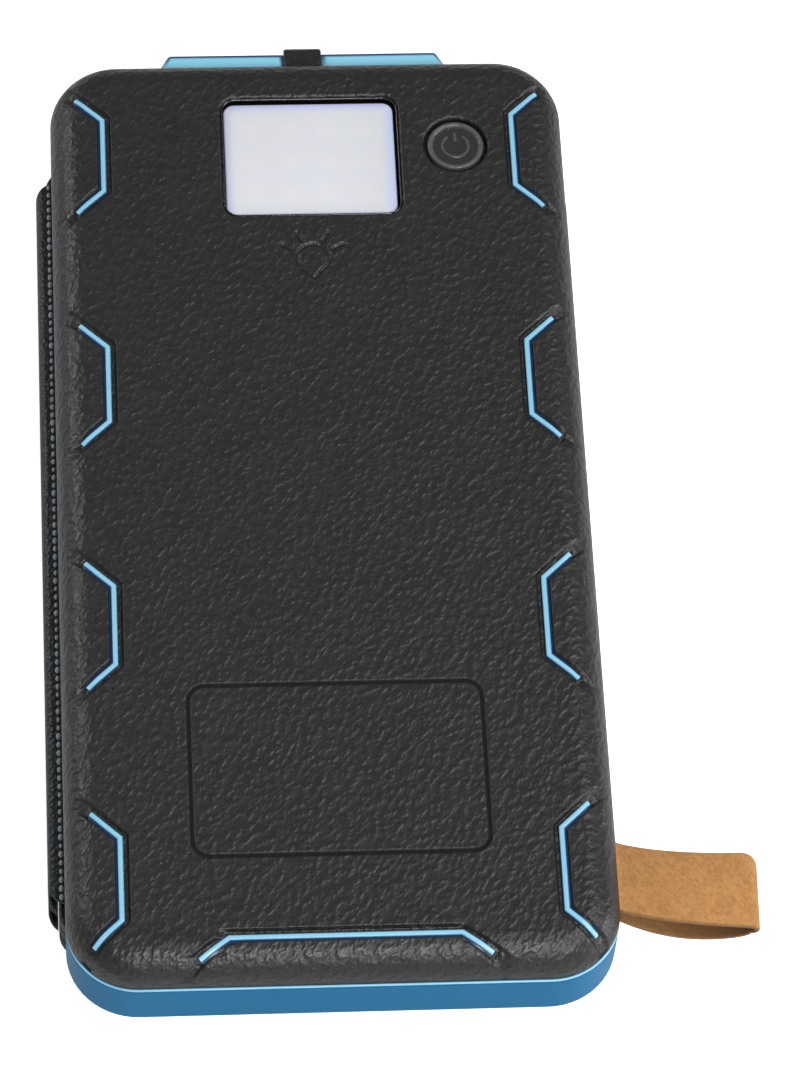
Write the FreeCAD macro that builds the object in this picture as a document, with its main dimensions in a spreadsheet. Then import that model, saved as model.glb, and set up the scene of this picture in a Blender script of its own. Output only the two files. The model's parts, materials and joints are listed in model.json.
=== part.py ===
"""A foldable solar power bank: a lamp face, three folding solar leaves, a port cover and a strap loop.

Row frame in millimetres. +Z points out of the lamp face and +Y towards the port end. The origin is under
the middle of the case, on the outer face of the last leaf, which the folded bank lies on.
"""
import FreeCAD, Part
import math
import os
import re
import Sketcher
from FreeCAD import Placement, Rotation, Vector

# Every size that can be set by itself, written once.
SIZES = {
    # case
    "body_width": 84.0,
    "body_length": 166.8,
    "corner_radius": 11.0,
    "rear_thick": 2.0,
    "rear_inset": 1.2,
    "rear_edge": 0.8,
    "frame_tall": 9.0,
    "frame_wall": 2.0,
    "frame_lip": 0.45,
    "shell_tall": 6.0,
    "shell_edge": 5.5,
    "shell_top": 1.8,
    "shell_side": 3.2,
    "shell_inner_edge": 2.4,
    "tongue_tall": 1.4,
    "fit_gap": 0.15,
    "seal_inset": 0.7,
    "seal_width": 0.8,
    "seal_deep": 0.5,
    # screws and the posts that take them
    "post_radius": 2.05,
    "boss_weld": 0.4,
    "screw_radius": 1.0,
    "screw_head_radius": 1.9,
    "screw_head_tall": 1.0,
    "screw_head_sink": 0.2,
    "screw_length": 12.5,
    "screw_clearance": 0.15,
    "screw_bite": 0.05,
    "cross_long": 3.04,
    "cross_wide": 0.57,
    "cut_margin": 1.0,
    # folding leaves
    "leaf_count": 3.0,
    "leaf_overhang": 1.0,
    "leaf_short": 25.8,
    "leaf_radius": 4.0,
    "leaf_shift": 2.3,
    "leaf_skin": 0.6,
    "leaf_board": 1.2,
    "leaf_gap": 0.4,
    "leaf_rim": 1.0,
    "laminate_thick": 0.8,
    "laminate_side": 6.0,
    "laminate_end": 5.5,
    "laminate_radius": 2.5,
    "laminate_gap": 0.2,
    "rear_recess": 1.0,
    # hinge cloths
    "cloth_thick": 0.6,
    "cloth_margin": 1.6,
    "cloth_bend": 0.9,
    "cloth_grip": 7.0,
    "cloth_gap": 0.1,
    "cloth_inset": 3.0,
    "fold_margin": 1.0,
    # magnets
    "magnet_radius": 1.6,
    "magnet_spacing": 90.0,
    "magnet_inset": 3.4,
    "case_magnet_radius": 2.3,
    "case_magnet_tall": 1.5,
    "case_magnet_inset": 4.8,
    # lamp
    "lamp_inset": 20.7,
    "lens_width": 28.2,
    "lens_length": 22.2,
    "lens_radius": 2.0,
    "lens_recess": 1.0,
    "lens_edge": 0.25,
    "lens_flange": 1.7,
    "lens_flange_thick": 1.0,
    "window_gap": 0.45,
    "reflector_tall": 3.0,
    "reflector_wall": 1.2,
    "lamp_board_thick": 1.0,
    "led_side": 2.8,
    "led_tall": 0.7,
    "led_pitch_x": 6.4,
    "led_pitch_y": 6.2,
    "led_columns": 4.0,
    "led_rows": 3.0,
    # power button
    "button_x": 24.1,
    "button_inset": 18.5,
    "button_radius": 4.6,
    "button_gap": 0.6,
    "button_sink": 0.3,
    "button_flange": 1.4,
    "button_flange_thick": 0.8,
    "button_travel": 0.5,
    "button_slack": 0.2,
    "button_dish": 0.7,
    "button_rim": 0.7,
    "button_edge": 0.3,
    "stem_radius": 1.5,
    "switch_side": 6.0,
    "switch_tall": 3.5,
    "plunger_gap": 1.0,
    "plunger_extra": 0.2,
    # face details
    "icon_inset": 40.1,
    "icon_deep": 0.35,
    "icon_line": 0.5,
    "icon_radius": 2.6,
    "icon_base_gap": 0.45,
    "icon_base_long": 2.86,
    "icon_base_taper": 1.04,
    "ray_count": 5.0,
    "ray_spread": 40.0,
    "ray_length": 1.5,
    "ray_gap": 0.9,
    "label_inset": 34.1,
    "label_width": 45.8,
    "label_length": 29.8,
    "label_radius": 3.0,
    "label_line": 0.4,
    "label_deep": 0.3,
    # accent brackets
    "accent_shift": -1.6,
    "accent_room": 35.7,
    "accent_near": 8.5,
    "accent_far": 4.0,
    "accent_half": 6.9,
    "accent_end": 11.1,
    "accent_line": 0.8,
    "accent_sink": 0.3,
    "accent_channel": 2.2,
    "accent_runout": 2.6,
    "accent_deep": 0.9,
    "end_accent_inset": 6.0,
    "end_accent_drop": 3.4,
    "end_accent_half": 17.5,
    "end_accent_end": 22.0,
    # port cover
    "cover_half": 23.8,
    "cover_out": 3.2,
    "cover_gap": 0.2,
    "cover_lift": 1.2,
    "cover_drop": 0.5,
    "cover_slant": 1.0,
    "anchor_half": 2.75,
    "anchor_split": 0.3,
    "anchor_stem": 1.5,
    "anchor_head": 2.2,
    "anchor_head_deep": 1.4,
    "tab_half": 2.75,
    "tab_thick": 1.2,
    "tab_lip": 0.9,
    "tab_drop": 4.5,
    "tab_gap": 0.1,
    "tab_root": 1.8,
    "tab_rise": 0.5,
    "anchor_rise": 0.3,
    "plug_deep": 1.4,
    "plug_gap": 0.5,
    "plug_weld": 0.2,
    # sockets
    "board_thick": 1.2,
    "board_stand": 0.5,
    "board_side": 11.0,
    "board_room": 36.9,
    "board_inset": 5.0,
    "socket_gap": 0.35,
    "socket_wall": 0.35,
    "tongue_setback": 1.2,
    "tongue_side": 1.05,
    "usb_a_x": -14.0,
    "usb_a_width": 13.1,
    "usb_a_tall": 5.7,
    "usb_a_deep": 14.0,
    "usb_c_x": 9.4,
    "usb_c_width": 8.9,
    "usb_c_tall": 3.3,
    "usb_c_deep": 7.4,
    "micro_x": 19.2,
    "micro_width": 7.5,
    "micro_tall": 2.8,
    "micro_deep": 5.6,
    "coil_side": 10.0,
    "coil_tall": 4.4,
    "coil_radius": 1.5,
    "coil_x": -24.5,
    "coil_back": 12.0,
    "chip_width": 5.0,
    "chip_length": 6.0,
    "chip_thick": 1.0,
    "can_radius": 2.5,
    "can_tall": 5.8,
    "can_back": 5.0,
    # cells
    "cell_side": 8.0,
    "cell_start_inset": 9.4,
    "cell_end_inset": 45.4,
    "cell_radius": 2.0,
    "foam_lower": 0.3,
    "foam_middle": 0.8,
    "foam_upper": 0.5,
    "foam_inset": 4.0,
    "guard_gap": 0.2,
    "guard_drop": 0.1,
    "guard_board_deep": 5.0,
    "guard_board_width": 50.0,
    "guard_board_thick": 1.0,
    "tab_strip_width": 5.0,
    "tab_strip_thick": 0.2,
    "tab_strip_reach": 3.0,
    "tab_strip_spread": 15.0,
    "lead_radius": 0.7,
    "thin_lead_radius": 0.5,
    "battery_lead_rise": 3.0,
    "battery_lead_in": 2.2,
    "battery_lead_spread": 2.5,
    "lamp_lead_in": 2.0,
    "lamp_lead_run": 4.0,
    "lamp_lead_drop": 2.6,
    "lamp_lead_spread": 1.2,
    "solar_lead_x": 24.0,
    "solar_lead_back": 5.0,
    "solar_lead_rise": 5.0,
    "solar_lead_in": 2.5,
    "solar_lead_spread": 0.7,
    # strap
    "strap_inset": 19.8,
    "strap_width": 11.6,
    "strap_thick": 1.1,
    "strap_reach": 22.0,
    "strap_bow": 2.2,
    "strap_side_gap": 0.5,
    "strap_pin_radius": 0.9,
    "strap_pin_inset": 1.8,
    "strap_pin_seat": 2.5,
    "strap_pin_level": 4.5,
    "strap_pin_gap": 0.08,
    "strap_pin_stop": 0.5,
    "housing_wall": 1.0,
    "slot_tall": 7.0,
    "slot_deep": 4.6,
}

# Levels and shared places, as formulas in those sizes.
LEAF = "(leaf_skin + leaf_board + laminate_thick)"
PITCH = f"({LEAF} + leaf_gap)"
REAR = f"(leaf_count * {PITCH})"
FRAME_BASE = f"({REAR} + rear_thick)"
SHELL_BASE = f"({FRAME_BASE} + frame_tall)"
FACE = f"({SHELL_BASE} + shell_tall)"
UNDER_FACE = f"({FACE} - shell_top)"
TONGUE_BASE = f"({SHELL_BASE} - tongue_tall)"
BOARD_BASE = f"({FRAME_BASE} + board_stand)"
BOARD_TOP = f"({BOARD_BASE} + board_thick)"
END = "(body_length / 2)"
SIDE = "(body_width / 2)"
INNER_END = f"({END} - frame_wall)"
LENS_TOP = f"({FACE} - lens_recess)"
LENS_BASE = f"({UNDER_FACE} - lens_flange_thick)"
LAMP_BOARD_TOP = f"({LENS_BASE} - reflector_tall)"
LAMP_WIDTH = "(lens_width + 2 * lens_flange)"
LAMP_LENGTH = "(lens_length + 2 * lens_flange)"
POST_REACH = "((corner_radius - frame_wall - post_radius - fit_gap) / sqrt(2))"
POST_X = f"({SIDE} - corner_radius + {POST_REACH})"
POST_Y = f"({END} - corner_radius + {POST_REACH})"
END_POST_Y = f"({END} - frame_wall - post_radius - fit_gap)"
BOSS_RADIUS = "(post_radius + fit_gap + boss_weld)"
CLOTH_EDGE = "(leaf_width / 2 + cloth_margin)"
CLOTH_LENGTH = "(leaf_length - 2 * cloth_inset)"
PIVOT_X = "(anchor_half + anchor_split + cover_out / 2)"
PIVOT_Y = f"({END} + cover_gap + cover_out / 2)"
PIN_X = f"({SIDE} - strap_pin_inset)"
PIN_Z = f"({FRAME_BASE} + strap_pin_level)"
BUTTON_TOP = f"({FACE} - button_sink)"
BUTTON_FLANGE_TOP = f"({UNDER_FACE} - button_slack)"
CELL_END = "(cell_y + cell_length / 2)"
LOWER_CELL = f"({FRAME_BASE} + foam_lower)"
MIDDLE_FOAM = f"({LOWER_CELL} + cell_thick)"
UPPER_CELL = f"({MIDDLE_FOAM} + foam_middle)"
GUARD_Y = f"({CELL_END} + guard_gap + guard_board_deep / 2)"

# Sizes and places that follow the case, by the names they go under in other formulas.
FOLLOWING = {
    "leaf_width": "(body_width + 2 * leaf_overhang)",
    "leaf_length": "(body_length - leaf_short)",
    "laminate_width": "(leaf_width - 2 * laminate_side)",
    "laminate_length": "(leaf_length - 2 * laminate_end)",
    "lamp_y": f"({END} - lamp_inset)",
    "button_y": f"({END} - button_inset)",
    "icon_y": f"({END} - icon_inset)",
    "label_y": f"(label_inset - {END})",
    "strap_y": f"(strap_inset - {END})",
    "accent_pitch": "((body_length - accent_room) / 3)",
    "accent_inner": f"({SIDE} - accent_near)",
    "accent_outer": f"({SIDE} - accent_far)",
    "cover_base": f"({FRAME_BASE} + cover_lift)",
    "cover_top": f"({SHELL_BASE} - cover_drop)",
    "board_width": "(body_width - 2 * board_side)",
    "board_start": f"({END} - board_room)",
    "cell_width": "(body_width - 2 * cell_side)",
    "cell_length": "(body_length - cell_start_inset - cell_end_inset)",
    "cell_y": "((cell_start_inset - cell_end_inset) / 2)",
    "cell_thick": f"(({UNDER_FACE} - {FRAME_BASE} - foam_lower - foam_middle - foam_upper) / 2)",
}
SLOT_LENGTH = "(strap_width + 2 * strap_side_gap)"

SOCKETS = ("usb_a", "usb_c", "micro")
CHIP_PLACES = ((-12, 8), (-5.5, 8), (8, 14))
CAN_PLACES = (10, 17)

doc = FreeCAD.newDocument("solar_power_bank")
sheet = doc.addObject("Spreadsheet::Sheet", "Sizes")
finished = []


def fill_sheet():
    """Write each size and its name into the sheet."""
    for row, (alias, size) in enumerate(SIZES.items(), start=1):
        sheet.set(f"A{row}", alias)
        sheet.set(f"B{row}", str(size))
        sheet.setAlias(f"B{row}", alias)
    doc.recompute()


def formula(text):
    """The expression on the sheet that a formula in plain size names stands for."""

    def stand_for(word):
        name = word[0]
        if name in FOLLOWING:
            return formula(FOLLOWING[name])
        return f"Sizes.{name}" if name in SIZES else name

    return re.sub(r"[a-z_]+", stand_for, str(text))


def amount(text):
    """A formula's value in millimetres."""
    return float(sheet.evalExpression(formula(text)))


def bind(thing, **formulas):
    """Bind properties of an object to formulas."""
    for name, text in formulas.items():
        thing.setExpression(name, formula(text))


def place(thing, x="0", y="0", z="0"):
    """Bind an object's position to formulas, leaving its turn as it is."""
    for axis, text in zip("xyz", (x, y, z)):
        thing.setExpression(f"Placement.Base.{axis}", formula(text))
    return thing


def node(thing, name):
    """Mark an object as a finished sub-part."""
    thing.Label = name
    finished.append(thing)
    return thing


# ---------------------------------------------------------------- sketches and solids

def new_body(name, x="0", y="0", z="0"):
    """An empty body at a place."""
    return place(doc.addObject("PartDesign::Body", name), x, y, z)


def new_sketch(body, name, x="0", y="0", z="0"):
    """A sketch on the body's own XY plane, moved by formulas."""
    sketch = body.newObject("Sketcher::SketchObject", name)
    plane = next(each for each in body.Origin.OriginFeatures if each.Role == "XY_Plane")
    sketch.AttachmentSupport = [(plane, "")]
    sketch.MapMode = "FlatFace"
    for axis, text in zip("xyz", (x, y, z)):
        sketch.setExpression(f"AttachmentOffset.Base.{axis}", formula(text))
    return sketch


def constrain(sketch, kind, *where, size=None):
    """Add one constraint, with its size bound to a formula if it has one."""
    if size is None:
        sketch.addConstraint(Sketcher.Constraint(kind, *where))
        return
    index = sketch.addConstraint(Sketcher.Constraint(kind, *where, amount(size)))
    sketch.setExpression(f"Constraints[{index}]", formula(size))


def draw_rounded(sketch, wide, tall, radius):
    """Draw a centred rectangle with round corners: four lines joined by four tangent arcs."""
    across, up, turn = amount(wide) / 2, amount(tall) / 2, amount(radius)
    first = sketch.GeometryCount
    quarter = math.pi / 2
    for corner, (sx, sy) in enumerate(((1, -1), (1, 1), (-1, 1), (-1, -1))):
        centre = Vector(sx * (across - turn), sy * (up - turn), 0)
        start = (corner - 1) * quarter
        circle = Part.Circle(centre, Vector(0, 0, 1), turn)
        sketch.addGeometry(Part.ArcOfCircle(circle, start, start + quarter))
    for corner in range(4):
        start = sketch.getPoint(first + corner, 2)
        end = sketch.getPoint(first + (corner + 1) % 4, 1)
        sketch.addGeometry(Part.LineSegment(start, end))
    for corner in range(4):
        constrain(sketch, "Tangent", first + corner, 2, first + 4 + corner, 1)
        constrain(sketch, "Tangent", first + 4 + corner, 2, first + (corner + 1) % 4, 1)
        constrain(sketch, "Horizontal" if corner % 2 else "Vertical", first + 4 + corner)
    for corner in range(1, 4):
        constrain(sketch, "Equal", first, first + corner)
    constrain(sketch, "Symmetric", first, 3, first + 2, 3, -1, 1)
    constrain(sketch, "DistanceX", first + 3, 3, first, 3, size=f"{wide} - 2 * ({radius})")
    constrain(sketch, "DistanceY", first, 3, first + 1, 3, size=f"{tall} - 2 * ({radius})")
    constrain(sketch, "Radius", first, size=radius)


def draw_circle(sketch, radius):
    """Draw a circle about the sketch's origin."""
    index = sketch.addGeometry(Part.Circle(Vector(0, 0, 0), Vector(0, 0, 1), amount(radius)))
    constrain(sketch, "Coincident", index, 3, -1, 1)
    constrain(sketch, "Radius", index, size=radius)


def pad(body, sketch, tall, reverse=False):
    """Raise a sketch by a height."""
    feature = body.newObject("PartDesign::Pad", f"{sketch.Name}_pad")
    feature.Profile = sketch
    feature.Reversed = reverse
    bind(feature, Length=tall)
    doc.recompute()
    return feature


def pocket(body, sketch, deep, upward=False):
    """Sink a sketch by a depth, and check that it took something away."""
    before = body.Shape.Volume
    feature = body.newObject("PartDesign::Pocket", f"{sketch.Name}_pocket")
    feature.Profile = sketch
    feature.Reversed = upward
    bind(feature, Length=deep)
    doc.recompute()
    if not body.Shape.Volume < before:
        raise RuntimeError(f"{feature.Name} cuts nothing")
    return feature


def edges_at(shape, level):
    """Names of the edges that lie at one height."""
    return [
        f"Edge{number}"
        for number, edge in enumerate(shape.Edges, start=1)
        if abs(edge.BoundBox.ZMin - level) < 1e-6 and abs(edge.BoundBox.ZMax - level) < 1e-6
    ]


def round_edges(body, feature, level, radius, kind="Fillet"):
    """Fillet or chamfer all of a feature's edges at one height of its body."""
    made = body.newObject(f"PartDesign::{kind}", f"{feature.Name}_{kind.lower()}")
    made.Base = (feature, edges_at(feature.Shape, amount(level)))
    bind(made, **{"Radius" if kind == "Fillet" else "Size": radius})
    doc.recompute()
    return made


def inset_outline(inset):
    """The width, length and corner radius of the case's outline moved inwards by an inset."""
    return f"body_width - 2 * {inset}", f"body_length - 2 * {inset}", f"corner_radius - {inset}"


def plate(name, wide, long, radius, tall, x="0", y="0", z="0"):
    """A flat plate with round corners, as a body standing on its own XY plane."""
    body = new_body(name, x, y, z)
    sketch = new_sketch(body, f"{name}_outline")
    draw_rounded(sketch, wide, long, radius)
    pad(body, sketch, tall)
    return body


def sink_rounded(body, name, wide, long, radius, deep, level="0", upward=True, x="0", y="0"):
    """Sink a rounded rectangle into a body from one level."""
    sketch = new_sketch(body, name, x, y, level)
    draw_rounded(sketch, wide, long, radius)
    return pocket(body, sketch, deep, upward)


def block(name, wide, deep, tall, x="0", y="0", z="0"):
    """A block centred on x and y that stands at z."""
    made = doc.addObject("Part::Box", name)
    bind(made, Length=wide, Width=deep, Height=tall)
    return place(made, f"({x}) - ({wide}) / 2", f"({y}) - ({deep}) / 2", z)


def rod(name, radius, long, x="0", y="0", z="0", along="Z"):
    """A round rod that starts at a point and runs along one axis."""
    made = doc.addObject("Part::Cylinder", name)
    turns = {
        "Z": Rotation(),
        "Y": Rotation(Vector(1, 0, 0), -90),
        "X": Rotation(Vector(0, 1, 0), 90),
    }
    made.Placement = Placement(Vector(0, 0, 0), turns[along])
    bind(made, Radius=radius, Height=long)
    return place(made, x, y, z)


def joined(name, pieces):
    """Several pieces fused into one."""
    made = doc.addObject("Part::MultiFuse", name)
    made.Shapes = pieces
    made.Refine = True
    return made


def less(name, base, tools):
    """A piece with others cut away from it."""
    made = doc.addObject("Part::Cut", name)
    made.Base = base
    made.Tool = tools[0] if len(tools) == 1 else joined(f"{name}_tools", tools)
    made.Refine = True
    return made


def grouped(name, pieces):
    """Identical or paired pieces kept as separate solids of one sub-part."""
    made = doc.addObject("Part::Compound", name)
    made.Links = pieces
    return made


def shaped(name, shape):
    """A sub-part whose shape is worked out here."""
    made = doc.addObject("Part::Feature", name)
    made.Shape = shape
    return made


# ---------------------------------------------------------------- shapes worked out from values

def rounded_path(points):
    """A path of straight runs joined by tangent arcs, each as large as its two runs allow."""
    edges, here = [], points[0]
    for before, corner, after in zip(points, points[1:], points[2:]):
        back, ahead = (before - corner), (after - corner)
        turn = math.pi - back.getAngle(ahead)
        reach = 0.45 * min(back.Length, ahead.Length)
        back.normalize()
        ahead.normalize()
        start, end = corner + back * reach, corner + ahead * reach
        radius = reach / math.tan(turn / 2)
        inward = (back + ahead).normalize()
        middle = corner + inward * (math.hypot(radius, reach) - radius)
        edges.append(Part.LineSegment(here, start).toShape())
        edges.append(Part.Arc(start, middle, end).toShape())
        here = end
    edges.append(Part.LineSegment(here, points[-1]).toShape())
    return Part.Wire(edges)


def tube(points, radius):
    """A round lead along a rounded path."""
    path = rounded_path(points)
    ahead = points[1] - points[0]
    ring = Part.Wire(Part.makeCircle(radius, points[0], ahead))
    made = path.makePipeShell([ring], True, False)
    if abs(made.Volume / (math.pi * radius**2 * path.Length) - 1) > 0.02:
        raise RuntimeError("a lead's volume isn't its section times its length")
    return made


def bracket(width, tall, inner, outer, half, end, runout):
    """A bracket-shaped band: a straight with a slanted arm at each end, its ends and corners round.
    runout lengthens both arms."""
    arm = math.hypot(outer - inner, end - half)
    longer = 1 + runout / arm
    far, side = inner + (outer - inner) * longer, half + (end - half) * longer
    points = [Vector(far, -side, 0), Vector(inner, -half, 0), Vector(inner, half, 0), Vector(far, side, 0)]
    outline = Part.makePolygon(points).makeOffset2D(width / 2, 0, False, False)
    return Part.Face(outline).extrude(Vector(0, 0, tall))


def side_brackets(width, turn, runout=0):
    """Four upright bands along one side of the face. turn is 0 for the right side and 180 for the left."""
    sizes = [amount(f"accent_{name}") for name in ("inner", "outer", "half", "end")]
    one = bracket(width, amount("shell_tall"), *sizes, runout)
    made = []
    for step in range(4):
        copy = one.copy()
        along = amount("accent_shift") + (step - 1.5) * amount("accent_pitch")
        start = Vector(0, along, amount(SHELL_BASE))
        copy.Placement = Placement(start, Rotation(Vector(0, 0, 1), turn))
        made.append(copy)
    return made


def end_bracket(width, runout=0):
    """The upright band at the end away from the ports."""
    near = amount(f"{END} - end_accent_inset")
    far = near + amount("end_accent_drop")
    half, end = amount("end_accent_half"), amount("end_accent_end")
    one = bracket(width, amount("shell_tall"), near, far, half, end, runout)
    one.Placement = Placement(Vector(0, 0, amount(SHELL_BASE)), Rotation(Vector(0, 0, 1), -90))
    return one


def ribbon(points, radii, thick, wide):
    """A bent strip of cloth across Y: a polyline of points (x, z) with rounded corners, thickened by
    half its thickness to each side."""
    edges, here = [], points[0]
    for before, corner, after, radius in zip(points, points[1:], points[2:], radii):
        back, ahead = (before - corner).normalize(), (after - corner).normalize()
        half_turn = (math.pi - back.getAngle(ahead)) / 2
        reach = radius * math.tan(half_turn)
        start, end = corner + back * reach, corner + ahead * reach
        middle = corner + (back + ahead).normalize() * (math.hypot(radius, reach) - radius)
        edges.append(Part.LineSegment(here, start).toShape())
        edges.append(Part.Arc(start, middle, end).toShape())
        here = end
    edges.append(Part.LineSegment(here, points[-1]).toShape())
    spine = Part.Wire(edges)
    start, tangent = points[0], (points[1] - points[0]).normalize()
    across = Vector(-tangent.z, 0, tangent.x) * (thick / 2)
    rise = Vector(0, wide, 0)
    corners = [start - across, start + across, start + across + rise, start - across + rise]
    section = Part.makePolygon(corners + corners[:1])
    return spine.makePipeShell([section], True, False)


# ---------------------------------------------------------------- case

def screw_places():
    """The x and y formulas of the case screws."""
    corners = [(f"{sx} * {POST_X}", f"{sy} * {POST_Y}") for sx in (-1, 1) for sy in (-1, 1)]
    return corners + [("0", f"-{END_POST_Y}")]


def inset_form(name, inset):
    """The shell's rounded outer form, moved inwards by an inset."""
    body = plate(name, *inset_outline(inset), f"shell_tall - {inset}", z=SHELL_BASE)
    round_edges(body, body.Tip, f"shell_tall - {inset}", f"shell_edge - {inset}")
    return body


def accent_cutters():
    """The channels that the accent brackets lie in, of one depth along the face and its rounded rim."""
    width, runout = amount("accent_channel"), amount("accent_runout")
    sides = side_brackets(width, 0, runout) + side_brackets(width, 180, runout)
    bands = sides + [end_bracket(width, runout)]
    band = shaped("channel_bands", Part.makeCompound(bands))
    return less("accent_channels", band, [inset_form("channel_floor", "accent_deep")])


def icon_cutters():
    """A plain lamp sign sunk in the face: a ring, a two-bar base and rays above it."""
    level = f"{FACE} - icon_deep"
    outer = rod("icon_disc", "icon_radius", "2 * icon_deep", "0", "icon_y", level)
    inner = rod("icon_core", "icon_radius - icon_line", "2 * icon_deep", "0", "icon_y", level)
    pieces = [less("icon_ring", outer, [inner])]
    for step in range(2):
        drop = f"icon_y - icon_radius - icon_base_gap - {step} * (icon_base_gap + icon_line)"
        pieces.append(block(f"icon_base_{step}", f"icon_base_long - {step} * icon_base_taper", "icon_line",
                            "2 * icon_deep", "0", drop, level))
    rays = round(amount("ray_count"))
    for step in range(rays):
        angle = 90 + amount("ray_spread") * (step - (rays - 1) / 2)
        ray = doc.addObject("Part::Box", f"icon_ray_{step}")
        bind(ray, Length="ray_length", Width="icon_line", Height="2 * icon_deep")
        ray.Placement = Placement(Vector(0, 0, 0), Rotation(Vector(0, 0, 1), angle))
        out_x, out_y = math.cos(math.radians(angle)), math.sin(math.radians(angle))
        start = "(icon_radius + ray_gap)"
        place(ray, f"{start} * {out_x} + icon_line / 2 * {out_y}",
              f"icon_y + {start} * {out_y} - icon_line / 2 * {out_x}", level)
        pieces.append(ray)
    return joined("icon_cutter", pieces)


def label_cutter():
    """The fine groove round the bare label pad."""
    body = plate("label_groove", "label_width", "label_length", "label_radius", "2 * label_deep",
                 "0", "label_y", f"{FACE} - label_deep")
    sink_rounded(body, "label_island", "label_width - 2 * label_line", "label_length - 2 * label_line",
                 "label_radius - label_line", "3 * label_deep")
    return body


def front_shell():
    """The grained lamp face with its rounded rim, tongue, posts, windows, channels and port tab."""
    body = plate("shell_blank", "body_width", "body_length", "corner_radius", "shell_tall", z=SHELL_BASE)
    round_edges(body, body.Tip, "shell_tall", "shell_edge")
    sink_rounded(body, "shell_hollow", *inset_outline("shell_side"), "shell_tall - shell_top")
    round_edges(body, body.Tip, "shell_tall - shell_top", "shell_inner_edge")
    tongue = new_sketch(body, "tongue", z="0")
    draw_rounded(tongue, *inset_outline("(frame_wall + fit_gap)"))
    draw_rounded(tongue, *inset_outline("shell_side"))
    pad(body, tongue, "tongue_tall", reverse=True)
    posts = [
        rod(f"shell_post_{number}", "post_radius", f"{UNDER_FACE} - {TONGUE_BASE}", x, y, TONGUE_BASE)
        for number, (x, y) in enumerate(screw_places())
    ]
    tab_y = f"{END} - tab_root"
    tab_end = f"({END} + cover_gap + cover_out + tab_gap + tab_lip)"
    tab_base = "(cover_top + tab_rise)"
    tab = block("tab_top", "2 * tab_half", f"{tab_end} - ({tab_y})", "tab_thick",
                "0", f"({tab_end} + {tab_y}) / 2", tab_base)
    lip = block("tab_front", "2 * tab_half", "tab_lip", "tab_drop + tab_thick",
                "0", f"{tab_end} - tab_lip / 2", f"{tab_base} - tab_drop")
    whole = joined("shell_whole", [body, tab, lip] + posts)
    cut_base = f"{UNDER_FACE} - shell_top / 2"
    window = plate("lens_window", "lens_width + 2 * window_gap", "lens_length + 2 * window_gap",
                   "lens_radius + window_gap", "2 * shell_top", "0", "lamp_y", cut_base)
    button = rod("button_hole", "button_radius + button_gap", "2 * shell_top", "button_x", "button_y",
                 cut_base)
    pilot_long = f"{UNDER_FACE} - {TONGUE_BASE} + screw_clearance + screw_bite"
    pilots = [
        rod(f"shell_pilot_{number}", "screw_radius + screw_bite", pilot_long, x, y,
            f"{TONGUE_BASE} - cut_margin")
        for number, (x, y) in enumerate(screw_places())
    ]
    cutters = [window, button, accent_cutters(), icon_cutters(), label_cutter()] + pilots
    return node(less("front_shell_solid", whole, cutters), "front_shell")


def socket_opening(kind, extra, deep, start, name):
    """A block as wide and tall as one socket plus a margin all round, in the end wall."""
    middle = f"{BOARD_TOP} + {kind}_tall / 2"
    tall = f"{kind}_tall + 2 * ({extra})"
    return block(name, f"{kind}_width + 2 * ({extra})", deep, tall,
                 f"{kind}_x", f"{start} + ({deep}) / 2", f"{middle} - ({tall}) / 2")


def strap_pin_rod(name):
    """A rod where the strap's pin lies, with both its ends seated beside the slot."""
    reach = "(strap_pin_seat - strap_pin_stop)"
    return rod(name, "strap_pin_radius", f"{SLOT_LENGTH} + 2 * {reach}", PIN_X,
               f"strap_y - {SLOT_LENGTH} / 2 - {reach}", PIN_Z, "Y")


def mid_frame():
    """The blue frame between face and rear cover: side walls, screw bosses, port openings, strap slot."""
    body = plate("frame_blank", "body_width", "body_length", "corner_radius", "frame_tall", z=FRAME_BASE)
    round_edges(body, body.Tip, "frame_tall", "frame_lip", "Chamfer")
    sink_rounded(body, "frame_hollow", *inset_outline("frame_wall"), "frame_tall")
    boss_tall = "frame_tall - tongue_tall - fit_gap"
    bosses = [
        rod(f"frame_boss_{number}", BOSS_RADIUS, boss_tall, x, y, FRAME_BASE)
        for number, (x, y) in enumerate(screw_places())
    ]
    housing_deep = "(slot_deep + housing_wall)"
    housing = block("strap_housing", housing_deep, f"{SLOT_LENGTH} + 2 * strap_pin_seat", boss_tall,
                    f"{SIDE} - frame_wall / 2 - {housing_deep} / 2", "strap_y", FRAME_BASE)
    whole = joined("frame_whole", [body, housing] + bosses)
    slot = block("strap_slot", "2 * slot_deep", SLOT_LENGTH, "slot_tall", SIDE, "strap_y",
                 f"{PIN_Z} - slot_tall / 2")
    pin_hole = strap_pin_rod("strap_pin_hole")
    holes = [
        rod(f"frame_hole_{number}", "screw_radius + screw_clearance", "frame_tall + 2 * cut_margin", x, y,
            f"{FRAME_BASE} - cut_margin")
        for number, (x, y) in enumerate(screw_places())
    ]
    openings = [
        socket_opening(kind, "socket_gap", "3 * frame_wall", f"{END} - 2 * frame_wall", f"{kind}_opening")
        for kind in SOCKETS
    ]
    anchor_hole = block("anchor_hole", "2 * (anchor_stem + fit_gap)", "3 * frame_wall",
                        "2 * (anchor_stem + fit_gap)", "0", END,
                        "(cover_base + cover_top) / 2 - anchor_stem - fit_gap")
    groove = seal_ring("seal_groove", "2 * seal_deep")
    frame = less("mid_frame_solid", whole, [slot, pin_hole, anchor_hole, groove] + holes + openings)
    node(strap_pin_rod("strap_pin_shank"), "strap_pin")
    return node(frame, "mid_frame")


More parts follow.
